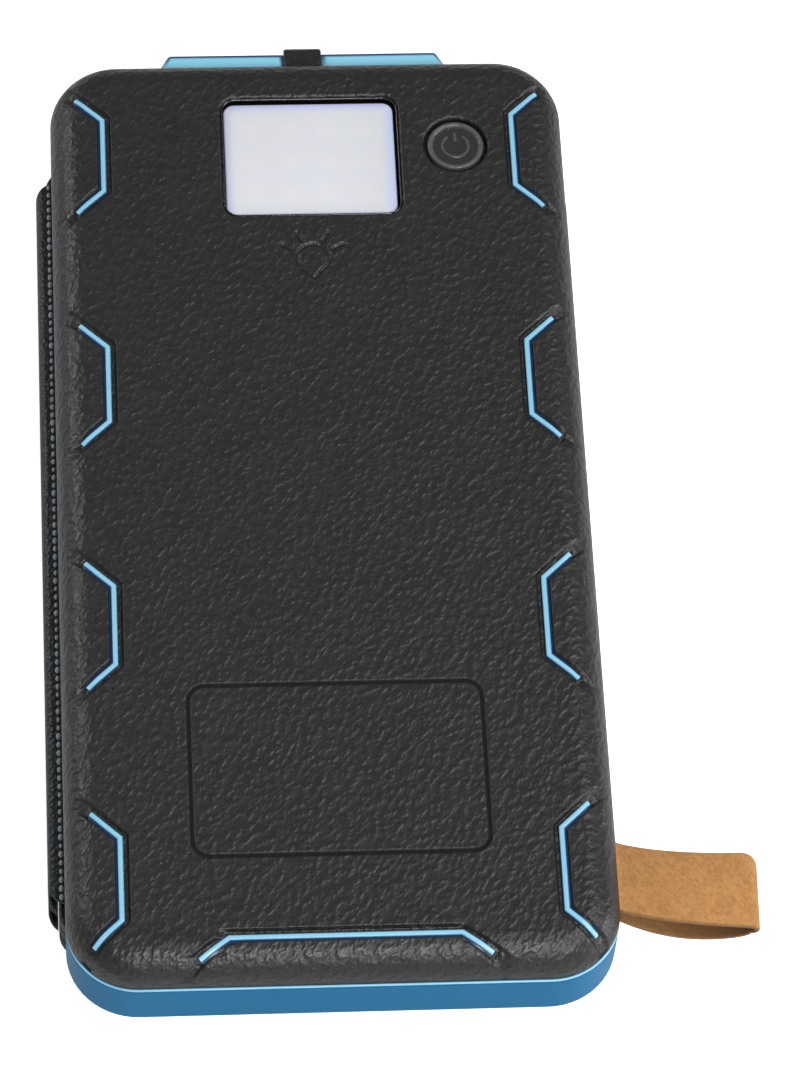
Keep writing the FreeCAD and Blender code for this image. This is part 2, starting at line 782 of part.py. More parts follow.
def seal_ring(name, tall):
    """The ring that the case seal fills, from the bottom of its groove upwards."""
    body = new_body(name, z=f"{SHELL_BASE} - seal_deep")
    sketch = new_sketch(body, f"{name}_ring")
    draw_rounded(sketch, *inset_outline("seal_inset"))
    draw_rounded(sketch, *inset_outline("(seal_inset + seal_width)"))
    pad(body, sketch, tall)
    return body


def rear_cover():
    """The rear plate: a recess for its solar laminate, a rebate for the hinge cloth and screw seats."""
    body = plate("cover_blank", *inset_outline("rear_inset"), "rear_thick", z=REAR)
    round_edges(body, body.Tip, "0", "rear_edge")
    sink_rounded(body, "laminate_recess", "laminate_width + 2 * laminate_gap",
                 "laminate_length + 2 * laminate_gap", "laminate_radius + laminate_gap", "rear_recess",
                 y="leaf_shift")
    rebate_deep = "(cloth_thick + cloth_gap)"
    rebate = block("cloth_rebate", "2 * cloth_grip", f"{CLOTH_LENGTH} + 2 * fit_gap", f"2 * {rebate_deep}",
                   f"-{SIDE}", "leaf_shift", f"{FRAME_BASE} - {rebate_deep}")
    corners = [
        (f"{side} * (board_width / 2 - board_inset)", y)
        for side in (-1, 1)
        for y in ("board_start + board_inset", f"{INNER_END} - 1.5 * board_inset")
    ]
    stands = [
        rod(f"board_stand_{number}", "post_radius", "board_stand", x, y, FRAME_BASE)
        for number, (x, y) in enumerate(corners)
    ]
    whole = joined("cover_whole", [body] + stands)
    seats, holes = [], []
    for number, (x, y) in enumerate(screw_places()):
        seats.append(rod(f"cover_seat_{number}", "screw_head_radius + screw_clearance",
                         "2 * (screw_head_tall + screw_head_sink)", x, y,
                         f"{REAR} - screw_head_tall - screw_head_sink"))
        holes.append(rod(f"cover_hole_{number}", "screw_radius + screw_clearance", "2 * rear_thick", x, y,
                         f"{REAR} - rear_thick / 2"))
    lead_hole = rod("lead_hole", "3 * thin_lead_radius", "2 * rear_thick", "solar_lead_x",
                    "board_start - solar_lead_back", f"{REAR} + rear_recess / 2")
    cover = less("rear_cover_solid", whole, [rebate, lead_hole] + seats + holes)
    laminate = plate("rear_laminate", "laminate_width", "laminate_length", "laminate_radius",
                     "laminate_thick", "0", "leaf_shift", f"{REAR} + rear_recess - laminate_thick")
    node(laminate, "rear_solar_laminate")
    return node(cover, "rear_cover")


def case_screws():
    """Five pan-head screws up through the rear cover and the frame into the shell's posts."""
    screws = []
    for number, (x, y) in enumerate(screw_places()):
        head = rod(f"screw_head_{number}", "screw_head_radius", "screw_head_tall", x, y,
                   f"{REAR} + screw_head_sink")
        shank = rod(f"screw_shank_{number}", "screw_radius", "screw_length", x, y,
                    f"{REAR} + screw_head_sink + screw_head_tall / 2")
        level = f"{REAR} + screw_head_sink - screw_head_tall / 2"
        slot = block(f"screw_slot_{number}", "cross_long", "cross_wide", "screw_head_tall", x, y, level)
        cross = block(f"screw_cross_{number}", "cross_wide", "cross_long", "screw_head_tall", x, y, level)
        whole = joined(f"screw_whole_{number}", [head, shank])
        screws.append(less(f"screw_{number}", whole, [slot, cross]))
    return node(grouped("case_screws_group", screws), "case_screws")


def accents():
    """The bright brackets on the floors of the channels, a little below the face."""
    width = amount("accent_line")
    groups = {
        "accents_right": side_brackets(width, 0),
        "accents_left": side_brackets(width, 180),
        "accent_end": [end_bracket(width)],
    }
    for label, bands in groups.items():
        trimmed = doc.addObject("Part::Common", f"{label}_trimmed")
        trimmed.Base = shaped(f"{label}_bands", Part.makeCompound(bands))
        trimmed.Tool = inset_form(f"{label}_ceiling", "accent_sink")
        node(less(f"{label}_solid", trimmed, [inset_form(f"{label}_floor", "accent_deep")]), label)


# ---------------------------------------------------------------- lamp and button

def lamp():
    """The frosted lens, its reflector box, the lamp board and its grid of lights."""
    flange_radius = "lens_radius + lens_flange"
    lens = plate("lens_flange_plate", LAMP_WIDTH, LAMP_LENGTH, flange_radius, "lens_flange_thick",
                 "0", "lamp_y", LENS_BASE)
    raised = new_sketch(lens, "lens_pane", z="lens_flange_thick")
    draw_rounded(raised, "lens_width", "lens_length", "lens_radius")
    pad(lens, raised, f"{LENS_TOP} - {UNDER_FACE}")
    round_edges(lens, lens.Tip, f"{LENS_TOP} - {LENS_BASE}", "lens_edge")
    node(lens, "lamp_lens")
    reflector = plate("reflector_box", LAMP_WIDTH, LAMP_LENGTH, flange_radius, "reflector_tall",
                      "0", "lamp_y", LAMP_BOARD_TOP)
    sink_rounded(reflector, "reflector_hollow", f"{LAMP_WIDTH} - 2 * reflector_wall",
                 f"{LAMP_LENGTH} - 2 * reflector_wall", f"{flange_radius} - reflector_wall",
                 "reflector_tall")
    node(reflector, "lamp_reflector")
    board = plate("lamp_board_plate", LAMP_WIDTH, LAMP_LENGTH, flange_radius, "lamp_board_thick",
                  "0", "lamp_y", f"{LAMP_BOARD_TOP} - lamp_board_thick")
    node(board, "lamp_board")
    columns, rows = round(amount("led_columns")), round(amount("led_rows"))
    lights = [
        block(f"led_{column}_{row}", "led_side", "led_side", "led_tall",
              f"led_pitch_x * ({column} - (led_columns - 1) / 2)",
              f"lamp_y + led_pitch_y * ({row} - (led_rows - 1) / 2)", LAMP_BOARD_TOP)
        for column in range(columns)
        for row in range(rows)
    ]
    node(grouped("lamp_lights_group", lights), "lamp_leds")


def power_button():
    """The button cap with its raised rim, flange and stem, over the switch on the main board."""
    cap = new_body("cap_body", "button_x", "button_y", f"{BUTTON_FLANGE_TOP} - button_flange_thick")
    flange = new_sketch(cap, "cap_flange")
    draw_circle(flange, "button_radius + button_flange")
    pad(cap, flange, "button_flange_thick")
    disc = new_sketch(cap, "cap_disc")
    draw_circle(disc, "button_radius")
    tall = f"({BUTTON_TOP} - {BUTTON_FLANGE_TOP} + button_flange_thick)"
    pad(cap, disc, tall)
    round_edges(cap, cap.Tip, tall, "button_edge")
    dish = new_sketch(cap, "cap_dish", z=tall)
    draw_circle(dish, "button_radius - button_rim")
    pocket(cap, dish, "button_dish / 2")
    plunger_top = f"({LAMP_BOARD_TOP} - plunger_gap)"
    cap_base = f"{BUTTON_FLANGE_TOP} - button_flange_thick"
    stem = new_sketch(cap, "cap_stem")
    draw_circle(stem, "stem_radius")
    pad(cap, stem, f"{cap_base} - {plunger_top} - button_travel - button_slack", reverse=True)
    node(cap, "button_cap")
    case = block("switch_case", "switch_side", "switch_side", "switch_tall", "button_x", "button_y",
                 BOARD_TOP)
    plunger = rod("switch_plunger", "stem_radius + plunger_extra", f"{plunger_top} - {BOARD_TOP}",
                  "button_x", "button_y", BOARD_TOP)
    node(joined("tact_switch_solid", [case, plunger]), "tact_switch")


# ---------------------------------------------------------------- electronics

def main_board():
    """The converter board at the port end."""
    board_long = f"({INNER_END} - socket_gap - board_start)"
    board = block("board_plate", "board_width", board_long, "board_thick", "0",
                  f"board_start + {board_long} / 2", BOARD_BASE)
    node(board, "main_board")


def sockets():
    """Three socket shells behind their openings in the end wall, each with its contact tongue."""
    tongues = []
    for kind, label in zip(SOCKETS, ("usb_a_socket", "usb_c_socket", "micro_usb_socket")):
        mouth = f"({INNER_END} - fit_gap)"
        outer = block(f"{kind}_outer", f"{kind}_width", f"{kind}_deep", f"{kind}_tall", f"{kind}_x",
                      f"{mouth} - {kind}_deep / 2", BOARD_TOP)
        inner = block(f"{kind}_inner", f"{kind}_width - 2 * socket_wall", f"{kind}_deep",
                      f"{kind}_tall - 2 * socket_wall", f"{kind}_x",
                      f"{mouth} - {kind}_deep / 2 + socket_wall", f"{BOARD_TOP} + socket_wall")
        node(less(f"{kind}_shell", outer, [inner]), label)
        long = f"({kind}_deep - socket_wall - tongue_setback)"
        thick = f"0.3 * {kind}_tall"
        tongues.append(block(f"{kind}_tongue", f"{kind}_width - 2 * tongue_side", long, thick, f"{kind}_x",
                             f"{mouth} - tongue_setback - {long} / 2", f"{BOARD_TOP} + 0.35 * {kind}_tall"))
    node(grouped("tongue_group", tongues), "socket_tongues")


def board_parts():
    """The inductor, the chips and the capacitors on the main board."""
    coil = plate("inductor_block", "coil_side", "coil_side", "coil_radius", "coil_tall", "coil_x",
                 "board_start + coil_back", BOARD_TOP)
    node(coil, "power_inductor")
    chips = [
        block(f"chip_{number}", "chip_width", "chip_length", "chip_thick", x, f"board_start + {back}",
              BOARD_TOP)
        for number, (x, back) in enumerate(CHIP_PLACES)
    ]
    node(grouped("chip_group", chips), "board_chips")
    cans = [
        rod(f"can_{number}", "can_radius", "can_tall", x, "board_start + can_back", BOARD_TOP)
        for number, x in enumerate(CAN_PLACES)
    ]
    node(grouped("can_group", cans), "board_capacitors")


def cells():
    """Two flat pouch cells with foam pads, their tab strips and the guard board between them."""
    for label, level in (("battery_cell_lower", LOWER_CELL), ("battery_cell_upper", UPPER_CELL)):
        cell = plate(f"{label}_pouch", "cell_width", "cell_length", "cell_radius", "cell_thick",
                     "0", "cell_y", level)
        node(cell, label)
    levels = {
        "lower": FRAME_BASE,
        "middle": MIDDLE_FOAM,
        "upper": f"{UPPER_CELL} + cell_thick",
    }
    pads = [
        block(f"pad_{name}", "cell_width - 2 * foam_inset", "cell_length - 2 * foam_inset", f"foam_{name}",
              "0", "cell_y", level)
        for name, level in levels.items()
    ]
    node(grouped("pad_group", pads), "foam_pads")
    guard_base = f"({MIDDLE_FOAM} - guard_drop)"
    guard = block("guard_plate", "guard_board_width", "guard_board_deep", "guard_board_thick",
                  "0", GUARD_Y, guard_base)
    node(guard, "protection_board")
    strips = []
    for side in (-1, 1):
        for level in (f"{guard_base} - tab_strip_thick", f"{guard_base} + guard_board_thick"):
            strips.append(block(f"strip_{len(strips)}", "tab_strip_width", "tab_strip_reach",
                                "tab_strip_thick", f"{side} * tab_strip_spread",
                                f"{CELL_END} + tab_strip_reach / 2", level))
    node(grouped("strip_group", strips), "cell_tabs")


def lead_pair(label, radius, route):
    """Two leads side by side along one route, as far apart as the lead's own spread says."""
    shapes = []
    for side in (-1, 1):
        offset = Vector(side * amount(f"{label}_spread"), 0, 0)
        shapes.append(tube([point + offset for point in route], amount(radius)))
    return node(shaped(f"{label}_shape", Part.makeCompound(shapes)), f"{label}s")


def leads():
    """The leads from the guard board, the lamp board and the rear laminate to the main board."""
    board_top, board_y = amount(BOARD_TOP), amount("board_start")
    start = Vector(0, amount(GUARD_Y), amount(f"{MIDDLE_FOAM} - guard_drop + guard_board_thick"))
    over = start + Vector(0, 0, amount("battery_lead_rise"))
    end_y = board_y + amount("battery_lead_in")
    route = [start, over, Vector(0, end_y, over.z), Vector(0, end_y, board_top)]
    lead_pair("battery_lead", "lead_radius", route)
    start_y = amount(f"lamp_y - {LAMP_LENGTH} / 2 + lamp_lead_in")
    start = Vector(0, start_y, amount(f"{LAMP_BOARD_TOP} - lamp_board_thick"))
    under = start - Vector(0, 0, amount("lamp_lead_drop"))
    end_y = start.y + amount("lamp_lead_run")
    route = [start, under, Vector(0, end_y, under.z), Vector(0, end_y, board_top)]
    lead_pair("lamp_lead", "thin_lead_radius", route)
    x = amount("solar_lead_x")
    start = Vector(x, board_y - amount("solar_lead_back"), amount(f"{REAR} + rear_recess"))
    over = start + Vector(0, 0, amount("solar_lead_rise"))
    end_y = board_y + amount("solar_lead_in")
    route = [start, over, Vector(x, end_y, over.z), Vector(x, end_y, board_top)]
    lead_pair("solar_lead", "thin_lead_radius", route)


# ---------------------------------------------------------------- port cover

def port_cover():
    """The rubber cover: an anchor held under the shell's tab, and a flap to each side that swings out."""
    middle = "(cover_base + cover_top) / 2"
    bar_y = f"{END} + cover_gap"
    anchor = block("anchor_block", "2 * anchor_half", "cover_out", "cover_top + anchor_rise - cover_base",
                   "0", f"{bar_y} + cover_out / 2", "cover_base")
    stem = block("anchor_stem_block", "2 * anchor_stem", "frame_wall + cover_out", "2 * anchor_stem", "0",
                 f"{END} + (cover_out - frame_wall) / 2 - fit_gap - cover_gap", f"{middle} - anchor_stem")
    head = block("anchor_head_block", "2 * anchor_head", "anchor_head_deep", "2 * anchor_head", "0",
                 f"{INNER_END} - fit_gap - anchor_head_deep / 2", f"{middle} - anchor_head")
    node(joined("port_cover_anchor_solid", [anchor, stem, head]), "port_cover_anchor")
    tall = "cover_top - cover_base"
    flaps = (("port_flap_left", -1, ("usb_a",)), ("port_flap_right", 1, ("usb_c", "micro")))
    for label, side, kinds in flaps:
        long = f"(cover_half - {PIVOT_X})"
        slab = block(f"{label}_slab", long, "cover_out", tall, f"{side} * ({PIVOT_X} + {long} / 2)", PIVOT_Y,
                     "cover_base")
        knuckle = rod(f"{label}_knuckle", "cover_out / 2", tall, f"{side} * {PIVOT_X}", PIVOT_Y,
                      "cover_base")
        plug_long = "plug_deep + cover_gap + plug_weld"
        plugs = [
            socket_opening(kind, "socket_gap - plug_gap", plug_long, f"{END} - plug_deep", f"{kind}_plug")
            for kind in kinds
        ]
        wedge = doc.addObject("Part::Wedge", f"{label}_slant")
        wedge_sizes = {
            "Xmin": "0", "Xmax": "2 * cover_slant", "X2min": "cover_slant", "X2max": "2 * cover_slant",
            "Ymin": "0", "Ymax": "cover_out", "Zmin": "0", "Zmax": tall, "Z2min": "0", "Z2max": tall,
        }
        bind(wedge, **wedge_sizes)
        wedge.Placement = Placement(Vector(0, 0, 0), Rotation(Vector(0, 0, 1), 0))
        if side > 0:
            wedge.Placement = Placement(Vector(0, 0, 0), Rotation(Vector(0, 1, 0), 180))
        place(wedge, f"{side} * (cover_half + cover_slant)", f"{END} + cover_gap",
              "cover_base" if side < 0 else "cover_top")
        node(joined(f"{label}_solid", [slab, knuckle, wedge] + plugs), label)


# ---------------------------------------------------------------- leaves and their hinges

def leaf(number):
    """One leaf: a leatherette tray, a stiff board, a leatherette front frame, a solar laminate and magnets.

    Leaves with an odd number lie with their laminate up, and the even one with its laminate down.
    """
    up = number % 2 == 1
    base = f"({REAR} - {number} * {PITCH})"
    top = f"({base} + {LEAF})"
    tray_base = base if up else f"({base} + laminate_thick)"
    tray = plate(f"leaf_{number}_tray", "leaf_width", "leaf_length", "leaf_radius",
                 "leaf_skin + leaf_board", "0", "leaf_shift", tray_base)
    inset = "leaf_rim"
    hollow = dict(wide=f"leaf_width - 2 * {inset}", long=f"leaf_length - 2 * {inset}",
                  radius=f"leaf_radius - {inset}", deep="leaf_board")
    sink_rounded(tray, f"leaf_{number}_hollow", hollow["wide"], hollow["long"], hollow["radius"],
                 hollow["deep"], level="leaf_skin" if up else "0")
    node(tray, f"leaf_{number}_back_skin")
    board_base = f"({base} + leaf_skin)" if up else f"({base} + laminate_thick)"
    board = plate(f"leaf_{number}_board_plate", hollow["wide"], hollow["long"], hollow["radius"],
                  "leaf_board", "0", "leaf_shift", board_base)
    front_base = f"({top} - laminate_thick)" if up else base
    frame = plate(f"leaf_{number}_front", "leaf_width", "leaf_length", "leaf_radius", "laminate_thick",
                  "0", "leaf_shift", front_base)
    sink_rounded(frame, f"leaf_{number}_window", "laminate_width + 2 * laminate_gap",
                 "laminate_length + 2 * laminate_gap", "laminate_radius + laminate_gap", "laminate_thick")
    node(frame, f"leaf_{number}_front_skin")
    laminate = plate(f"leaf_{number}_laminate", "laminate_width", "laminate_length", "laminate_radius",
                     "laminate_thick", "0", "leaf_shift", front_base)
    node(laminate, f"leaf_{number}_solar_laminate")
    sides = (1,) if number == 3 else (-1, 1)
    spots = [
        (f"{sx} * (leaf_width / 2 - magnet_inset)", f"leaf_shift + {sy} * magnet_spacing / 2")
        for sx in sides for sy in (-1, 1)
    ]
    magnets = [
        rod(f"leaf_{number}_magnet_{spot}", "magnet_radius", "leaf_board", x, y, board_base)
        for spot, (x, y) in enumerate(spots)
    ]
    pockets = [
        rod(f"leaf_{number}_pocket_{spot}", "magnet_radius", "2 * leaf_board", x, y,
            f"{board_base} - leaf_board / 2")
        for spot, (x, y) in enumerate(spots)
    ]
    node(less(f"leaf_{number}_board_solid", board, pockets), f"leaf_{number}_board")
    node(grouped(f"leaf_{number}_magnet_group", magnets), f"leaf_{number}_magnets")


def case_magnets():
    """The two magnets inside the rear cover that hold the first leaf shut."""
    magnets = [
        rod(f"case_magnet_{number}", "case_magnet_radius", "case_magnet_tall",
            f"{SIDE} - case_magnet_inset", f"leaf_shift + {sy} * magnet_spacing / 2", FRAME_BASE)
        for number, sy in enumerate((-1, 1))
    ]
    node(grouped("case_magnet_group", magnets), "case_magnets")


def hinge_cloths():
    """The three strips of leatherette that the leaves fold on.

    The first is clamped between rear cover and frame and turns down round the first leaf's edge. The second
    turns tightly between the backs of leaves one and two. The third turns round leaves two and three.
    """
    thick, bend = amount("cloth_thick"), amount("cloth_bend")
    edge = amount(CLOTH_EDGE) - thick / 2
    near = amount("leaf_width") / 2 + amount("cloth_gap")
    low_y = amount("leaf_shift") - amount(CLOTH_LENGTH) / 2
    wide = amount(CLOTH_LENGTH)
    pitch, skin = amount(PITCH), amount("leaf_skin")
    rear = amount(REAR)

    def strip(label, points, radii):
        shape = ribbon([Vector(x, low_y, z) for x, z in points], radii, thick, wide)
        return node(shaped(f"{label}_shape", shape), label)

    clamp = amount("body_width") / 2 - amount("cloth_grip") + amount("fit_gap")
    top = amount(FRAME_BASE) - amount("cloth_gap") / 2 - thick / 2
    leaf_one = rear - pitch + skin / 2
    strip("hinge_cloth_1", [(-clamp, top), (-edge, top), (-edge, leaf_one), (-near, leaf_one)],
          (bend, bend))
    two_back = rear - 2 * pitch + amount(LEAF) - skin / 2
    fold = near + amount("fold_margin") - thick / 2
    tight = 0.48 * (leaf_one - two_back)
    strip("hinge_cloth_2", [(near, leaf_one), (fold, leaf_one), (fold, two_back), (near, two_back)],
          (tight, tight))
    three_back = rear - 3 * pitch + skin / 2
    strip("hinge_cloth_3", [(-near, two_back), (-edge, two_back), (-edge, three_back), (-near, three_back)],
          (bend, bend))


# ---------------------------------------------------------------- strap

def strap_loop():
    """The leather loop: round the pin in the frame's slot, out, folded at the far end and back.

    Its outline is two arcs round the pin and the far end, a straight above and a shallow three-arc bow
    below. The opening is the same outline moved inwards by the leather's thickness.
    """
    thick, reach = amount("strap_thick"), amount("strap_reach")
    eye = amount("strap_pin_radius") + amount("strap_pin_gap")
    wide = amount("strap_width")

    def outline(radius, bow):
        low = -radius
        quarter = reach / 4
        top = Part.LineSegment(Vector(0, 0, radius), Vector(reach, 0, radius)).toShape()
        far = Part.Arc(Vector(reach, 0, radius), Vector(reach + radius, 0, 0),
                       Vector(reach, 0, low)).toShape()
        turn = 2 * math.atan(bow / 2 / quarter)
        curve = quarter / math.sin(turn)
        rise = curve * (1 - math.cos(turn / 2))
        side_step = curve * math.sin(turn / 2)
        outward = Part.Arc(Vector(reach, 0, low), Vector(reach - side_step, 0, low - rise),
                           Vector(reach - quarter, 0, low - bow / 2)).toShape()
        belly = Part.Arc(Vector(reach - quarter, 0, low - bow / 2), Vector(reach / 2, 0, low - bow),
                         Vector(quarter, 0, low - bow / 2)).toShape()
        inward = Part.Arc(Vector(quarter, 0, low - bow / 2), Vector(side_step, 0, low - rise),
                          Vector(0, 0, low)).toShape()
        near = Part.Arc(Vector(0, 0, low), Vector(-radius, 0, 0), Vector(0, 0, radius)).toShape()
        return Part.Face(Part.Wire([top, far, outward, belly, inward, near]))

    bow = amount("strap_bow")
    outer = outline(eye + thick, bow).extrude(Vector(0, wide, 0))
    inner = outline(eye, bow).extrude(Vector(0, wide, 0))
    made = shaped("strap_loop_shape", outer.cut(inner))
    corner = Vector(amount(PIN_X), amount("strap_y") - wide / 2, amount(PIN_Z))
    made.Placement = Placement(corner, Rotation())
    return node(made, "strap_loop")


# ---------------------------------------------------------------- build, check, write

def build():
    """Build every sub-part."""
    fill_sheet()
    front_shell()
    mid_frame()
    node(seal_ring("case_seal_ring", "seal_deep"), "case_seal")
    rear_cover()
    case_screws()
    accents()
    lamp()
    power_button()
    main_board()
    sockets()
    board_parts()
    cells()
    leads()
    port_cover()
    case_magnets()
    for number in range(1, round(amount("leaf_count")) + 1):
        leaf(number)
    hinge_cloths()
    strap_loop()
    doc.recompute()


def check():
    """Refuse a failed object or an empty or broken shape."""
    for thing in doc.Objects:
        if {"Invalid", "Error"} & set(thing.State):
            raise RuntimeError(f"{thing.Label} failed: {thing.State}")
    for thing in finished:
        if thing.Shape.isNull() or not thing.Shape.isValid() or not thing.Shape.Solids:
            raise RuntimeError(f"{thing.Label} has no sound solid")


def write():
    """Write each sub-part to its own STEP file."""
    os.makedirs("parts", exist_ok=True)
    for thing in finished:
        thing.Shape.exportStep(f"parts/{thing.Label}.step")
        print(f"{thing.Label}: {len(thing.Shape.Solids)} solids, {thing.Shape.Volume:.1f} mm3")


build()
check()
write()
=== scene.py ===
"""A foldable solar power bank: the visible skins, seams and finishes, built round the CAD frame.

The row frame is the CAD model's: +Z out of the lamp face, +Y towards the port end. Sizes here are in
millimetres and are turned into metres only when a mesh is made.
"""
import json
import logging
import math
from collections.abc import Iterable
from dataclasses import dataclass, field
from enum import Enum

import bmesh
import bpy
import numpy as np
from mathutils import Matrix, Vector
from mathutils.geometry import tessellate_polygon


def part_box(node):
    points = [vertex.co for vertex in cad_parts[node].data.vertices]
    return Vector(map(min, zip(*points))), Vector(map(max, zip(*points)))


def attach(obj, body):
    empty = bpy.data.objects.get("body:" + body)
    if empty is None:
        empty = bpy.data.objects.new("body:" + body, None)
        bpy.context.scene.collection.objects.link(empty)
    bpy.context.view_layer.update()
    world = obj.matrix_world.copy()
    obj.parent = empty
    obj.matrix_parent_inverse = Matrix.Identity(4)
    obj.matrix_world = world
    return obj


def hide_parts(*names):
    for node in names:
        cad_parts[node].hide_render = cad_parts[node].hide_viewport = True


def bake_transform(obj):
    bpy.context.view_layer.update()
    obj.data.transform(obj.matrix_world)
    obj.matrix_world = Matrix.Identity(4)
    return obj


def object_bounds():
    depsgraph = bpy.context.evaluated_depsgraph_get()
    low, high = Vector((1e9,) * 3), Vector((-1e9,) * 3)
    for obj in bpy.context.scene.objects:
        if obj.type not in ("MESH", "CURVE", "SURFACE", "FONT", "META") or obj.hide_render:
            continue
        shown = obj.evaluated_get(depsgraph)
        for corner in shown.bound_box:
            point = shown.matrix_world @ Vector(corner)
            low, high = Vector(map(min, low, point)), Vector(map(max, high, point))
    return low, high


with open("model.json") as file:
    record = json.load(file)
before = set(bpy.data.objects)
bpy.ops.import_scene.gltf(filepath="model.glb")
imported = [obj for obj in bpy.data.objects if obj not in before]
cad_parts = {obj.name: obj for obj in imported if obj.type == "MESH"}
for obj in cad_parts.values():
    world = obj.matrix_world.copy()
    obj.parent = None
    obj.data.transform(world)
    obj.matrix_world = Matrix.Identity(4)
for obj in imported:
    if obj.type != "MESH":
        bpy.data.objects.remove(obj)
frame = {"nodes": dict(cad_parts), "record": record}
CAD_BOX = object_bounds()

MM = 0.001

# Sizes that two sub-assemblies share: the ledges of the lens and of the button cap, the corner radius of
# the lens's pane, and the depth of the shell's walls under its face.
LENS_FLANGE = 1.7
CAP_FLANGE = 1.4
PANE_RADIUS = 2.0
FACE_DEPTH = 1.8

log = logging.getLogger("power_bank")


# ---------------------------------------------------------------- boxes and surfaces

@dataclass(frozen=True)
class NodeBox:
    """The box of one CAD node at rest, in millimetres."""

    low: np.ndarray
    high: np.ndarray

    @classmethod
    def of(cls, node: str) -> "NodeBox":
        """Read a node's box from the frame.

        Args:
            node: The CAD node's name.

        Returns:
            Its box in millimetres.
        """
        low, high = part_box(node)
        return cls(np.array(low) / MM, np.array(high) / MM)

    @property
    def centre(self) -> np.ndarray:
        """The middle of the box."""
        return (self.low + self.high) / 2

    @property
    def half(self) -> np.ndarray:
        """Half the box's size along each axis."""
        return (self.high - self.low) / 2


@dataclass
class Surface:
    """Points and faces of a mesh in the making, in millimetres."""

    points: np.ndarray
    quads: np.ndarray
    caps: list[list[int]] = field(default_factory=list)

    def __add__(self, other: "Surface") -> "Surface":
        """Two surfaces as one, with the second one's numbering moved past the first's.

        Args:
            other: The form to add.

        Returns:
            The joined form.
        """
        start = len(self.points)
        caps = self.caps + [[index + start for index in cap] for cap in other.caps]
        points = np.concatenate([self.points, other.points])
        return Surface(points, np.concatenate([self.quads, other.quads + start]), caps)

    def flipped(self) -> "Surface":
        """The same surface turned inside out."""
        return Surface(self.points, self.quads[:, ::-1], [cap[::-1] for cap in self.caps])

    def mesh(self, name: str, face_out: bool = False) -> bpy.types.Mesh:
        """Make a Blender mesh of the surface, in metres.

        Args:
            name: The mesh's name.
            face_out: Whether every face is turned outwards afresh.

        Returns:
            The mesh.
        """
        made = bpy.data.meshes.new(name)
        faces = self.quads.tolist() + self.caps
        made.from_pydata((self.points * MM).tolist(), [], faces)
        if face_out:
            work = bmesh.new()
            work.from_mesh(made)
            bmesh.ops.recalc_face_normals(work, faces=work.faces)
            work.to_mesh(made)
            work.free()
        made.validate()
        made.update()
        return made


def grid_quads(rows: int, columns: int, close_rows: bool = False, close_columns: bool = False) -> np.ndarray:
    """Number the quads of a grid of points, row by row.

    Args:
        rows: Number of rows of points.
        columns: Number of points in a row.
        close_rows: Whether the last row joins the first.
        close_columns: Whether each row is a ring.

    Returns:
        An array of quads, four point numbers each.
    """
    row = np.arange(rows if close_rows else rows - 1)[:, None]
    column = np.arange(columns if close_columns else columns - 1)[None, :]
    after_row, after_column = (row + 1) % rows, (column + 1) % columns
    corners = [
        row * columns + column, row * columns + after_column,
        after_row * columns + after_column, after_row * columns + column,
    ]
    return np.stack(corners, axis=-1).reshape(-1, 4)


def carried(sections: np.ndarray, ring: bool = False, start_cap: bool = False,
            end_cap: bool = False) -> Surface:
    """Join a stack of closed sections into a skin. Section k's point j meets section k+1's point j.

    Args:
        sections: Points of shape (sections, points in a section, 3), each section counter-clockwise
            seen from the side that the stack grows towards.
        ring: Whether the last section joins the first.
        start_cap: Whether the first section is closed by a face.
        end_cap: Whether the last section is closed by a face.

    Returns:
        The skin, facing outwards.
    """
    count, around = sections.shape[:2]
    caps = []
    if start_cap:
        caps.append(list(range(around))[::-1])
    if end_cap:
        caps.append(list(range((count - 1) * around, count * around)))
    return Surface(sections.reshape(-1, 3), grid_quads(count, around, ring, True), caps)


def outline(half_x: float, half_y: float, radius: float, centre: np.ndarray, steps: int = 9) -> np.ndarray:
    """A rectangle with round corners: four quarter circles, joined by the straights between them.

    Args:
        half_x: Half its width.
        half_y: Half its length.
        radius: Corner radius.
        centre: Its middle, of which x and y are read.
        steps: Points on each corner.

    Returns:
        Counter-clockwise points of shape (4 * steps, 2).
    """
    angle = np.linspace(0, math.pi / 2, steps)[None, :] + np.arange(4)[:, None] * math.pi / 2
    side_x = np.array([1, -1, -1, 1])[:, None] * (half_x - radius)
    side_y = np.array([1, 1, -1, -1])[:, None] * (half_y - radius)
    x = centre[0] + side_x + radius * np.cos(angle)
    y = centre[1] + side_y + radius * np.sin(angle)
    return np.stack([x.ravel(), y.ravel()], axis=-1)


def at_height(ring: np.ndarray, height: float) -> np.ndarray:
    """The points of a flat ring, all at one height."""
    return np.column_stack([ring, np.full(len(ring), height)])


def inset_stack(box: NodeBox, radius: float, profile: Iterable[tuple[float, float]],
                steps: int = 9) -> np.ndarray:
    """Sections of a form that is rounded like a box seen from above: the box's outline drawn in by each
    row's inset, at each row's height.

    Args:
        box: The box to fill.
        radius: Corner radius of the outline.
        profile: Rows of (inset, height).
        steps: Points on each corner.

    Returns:
        The sections, one for each row.
    """
    rings = [
        at_height(outline(box.half[0] - inset, box.half[1] - inset, radius - inset, box.centre, steps),
                  height)
        for inset, height in profile
    ]
    return np.array(rings)


def edge_profile(base: float, top: float, base_round: float, top_round: float, steps: int = 4) -> np.ndarray:
    """The edge of a plate from its base to its top: a quarter circle, an upright and a quarter circle.

    Args:
        base: Height of the plate's base.
        top: Height of its top.
        base_round: Radius of the lower edge.
        top_round: Radius of the upper edge.
        steps: Faces on each quarter circle.

    Returns:
        Rows of (inset from the outline, height).
    """
    turn = np.linspace(0, math.pi / 2, steps + 1)
    low = np.stack([base_round * (1 - np.sin(turn)), base + base_round * (1 - np.cos(turn))], axis=-1)
    high = np.stack([top_round * (1 - np.cos(turn)), top - top_round * (1 - np.sin(turn))], axis=-1)
    return np.concatenate([low, high])


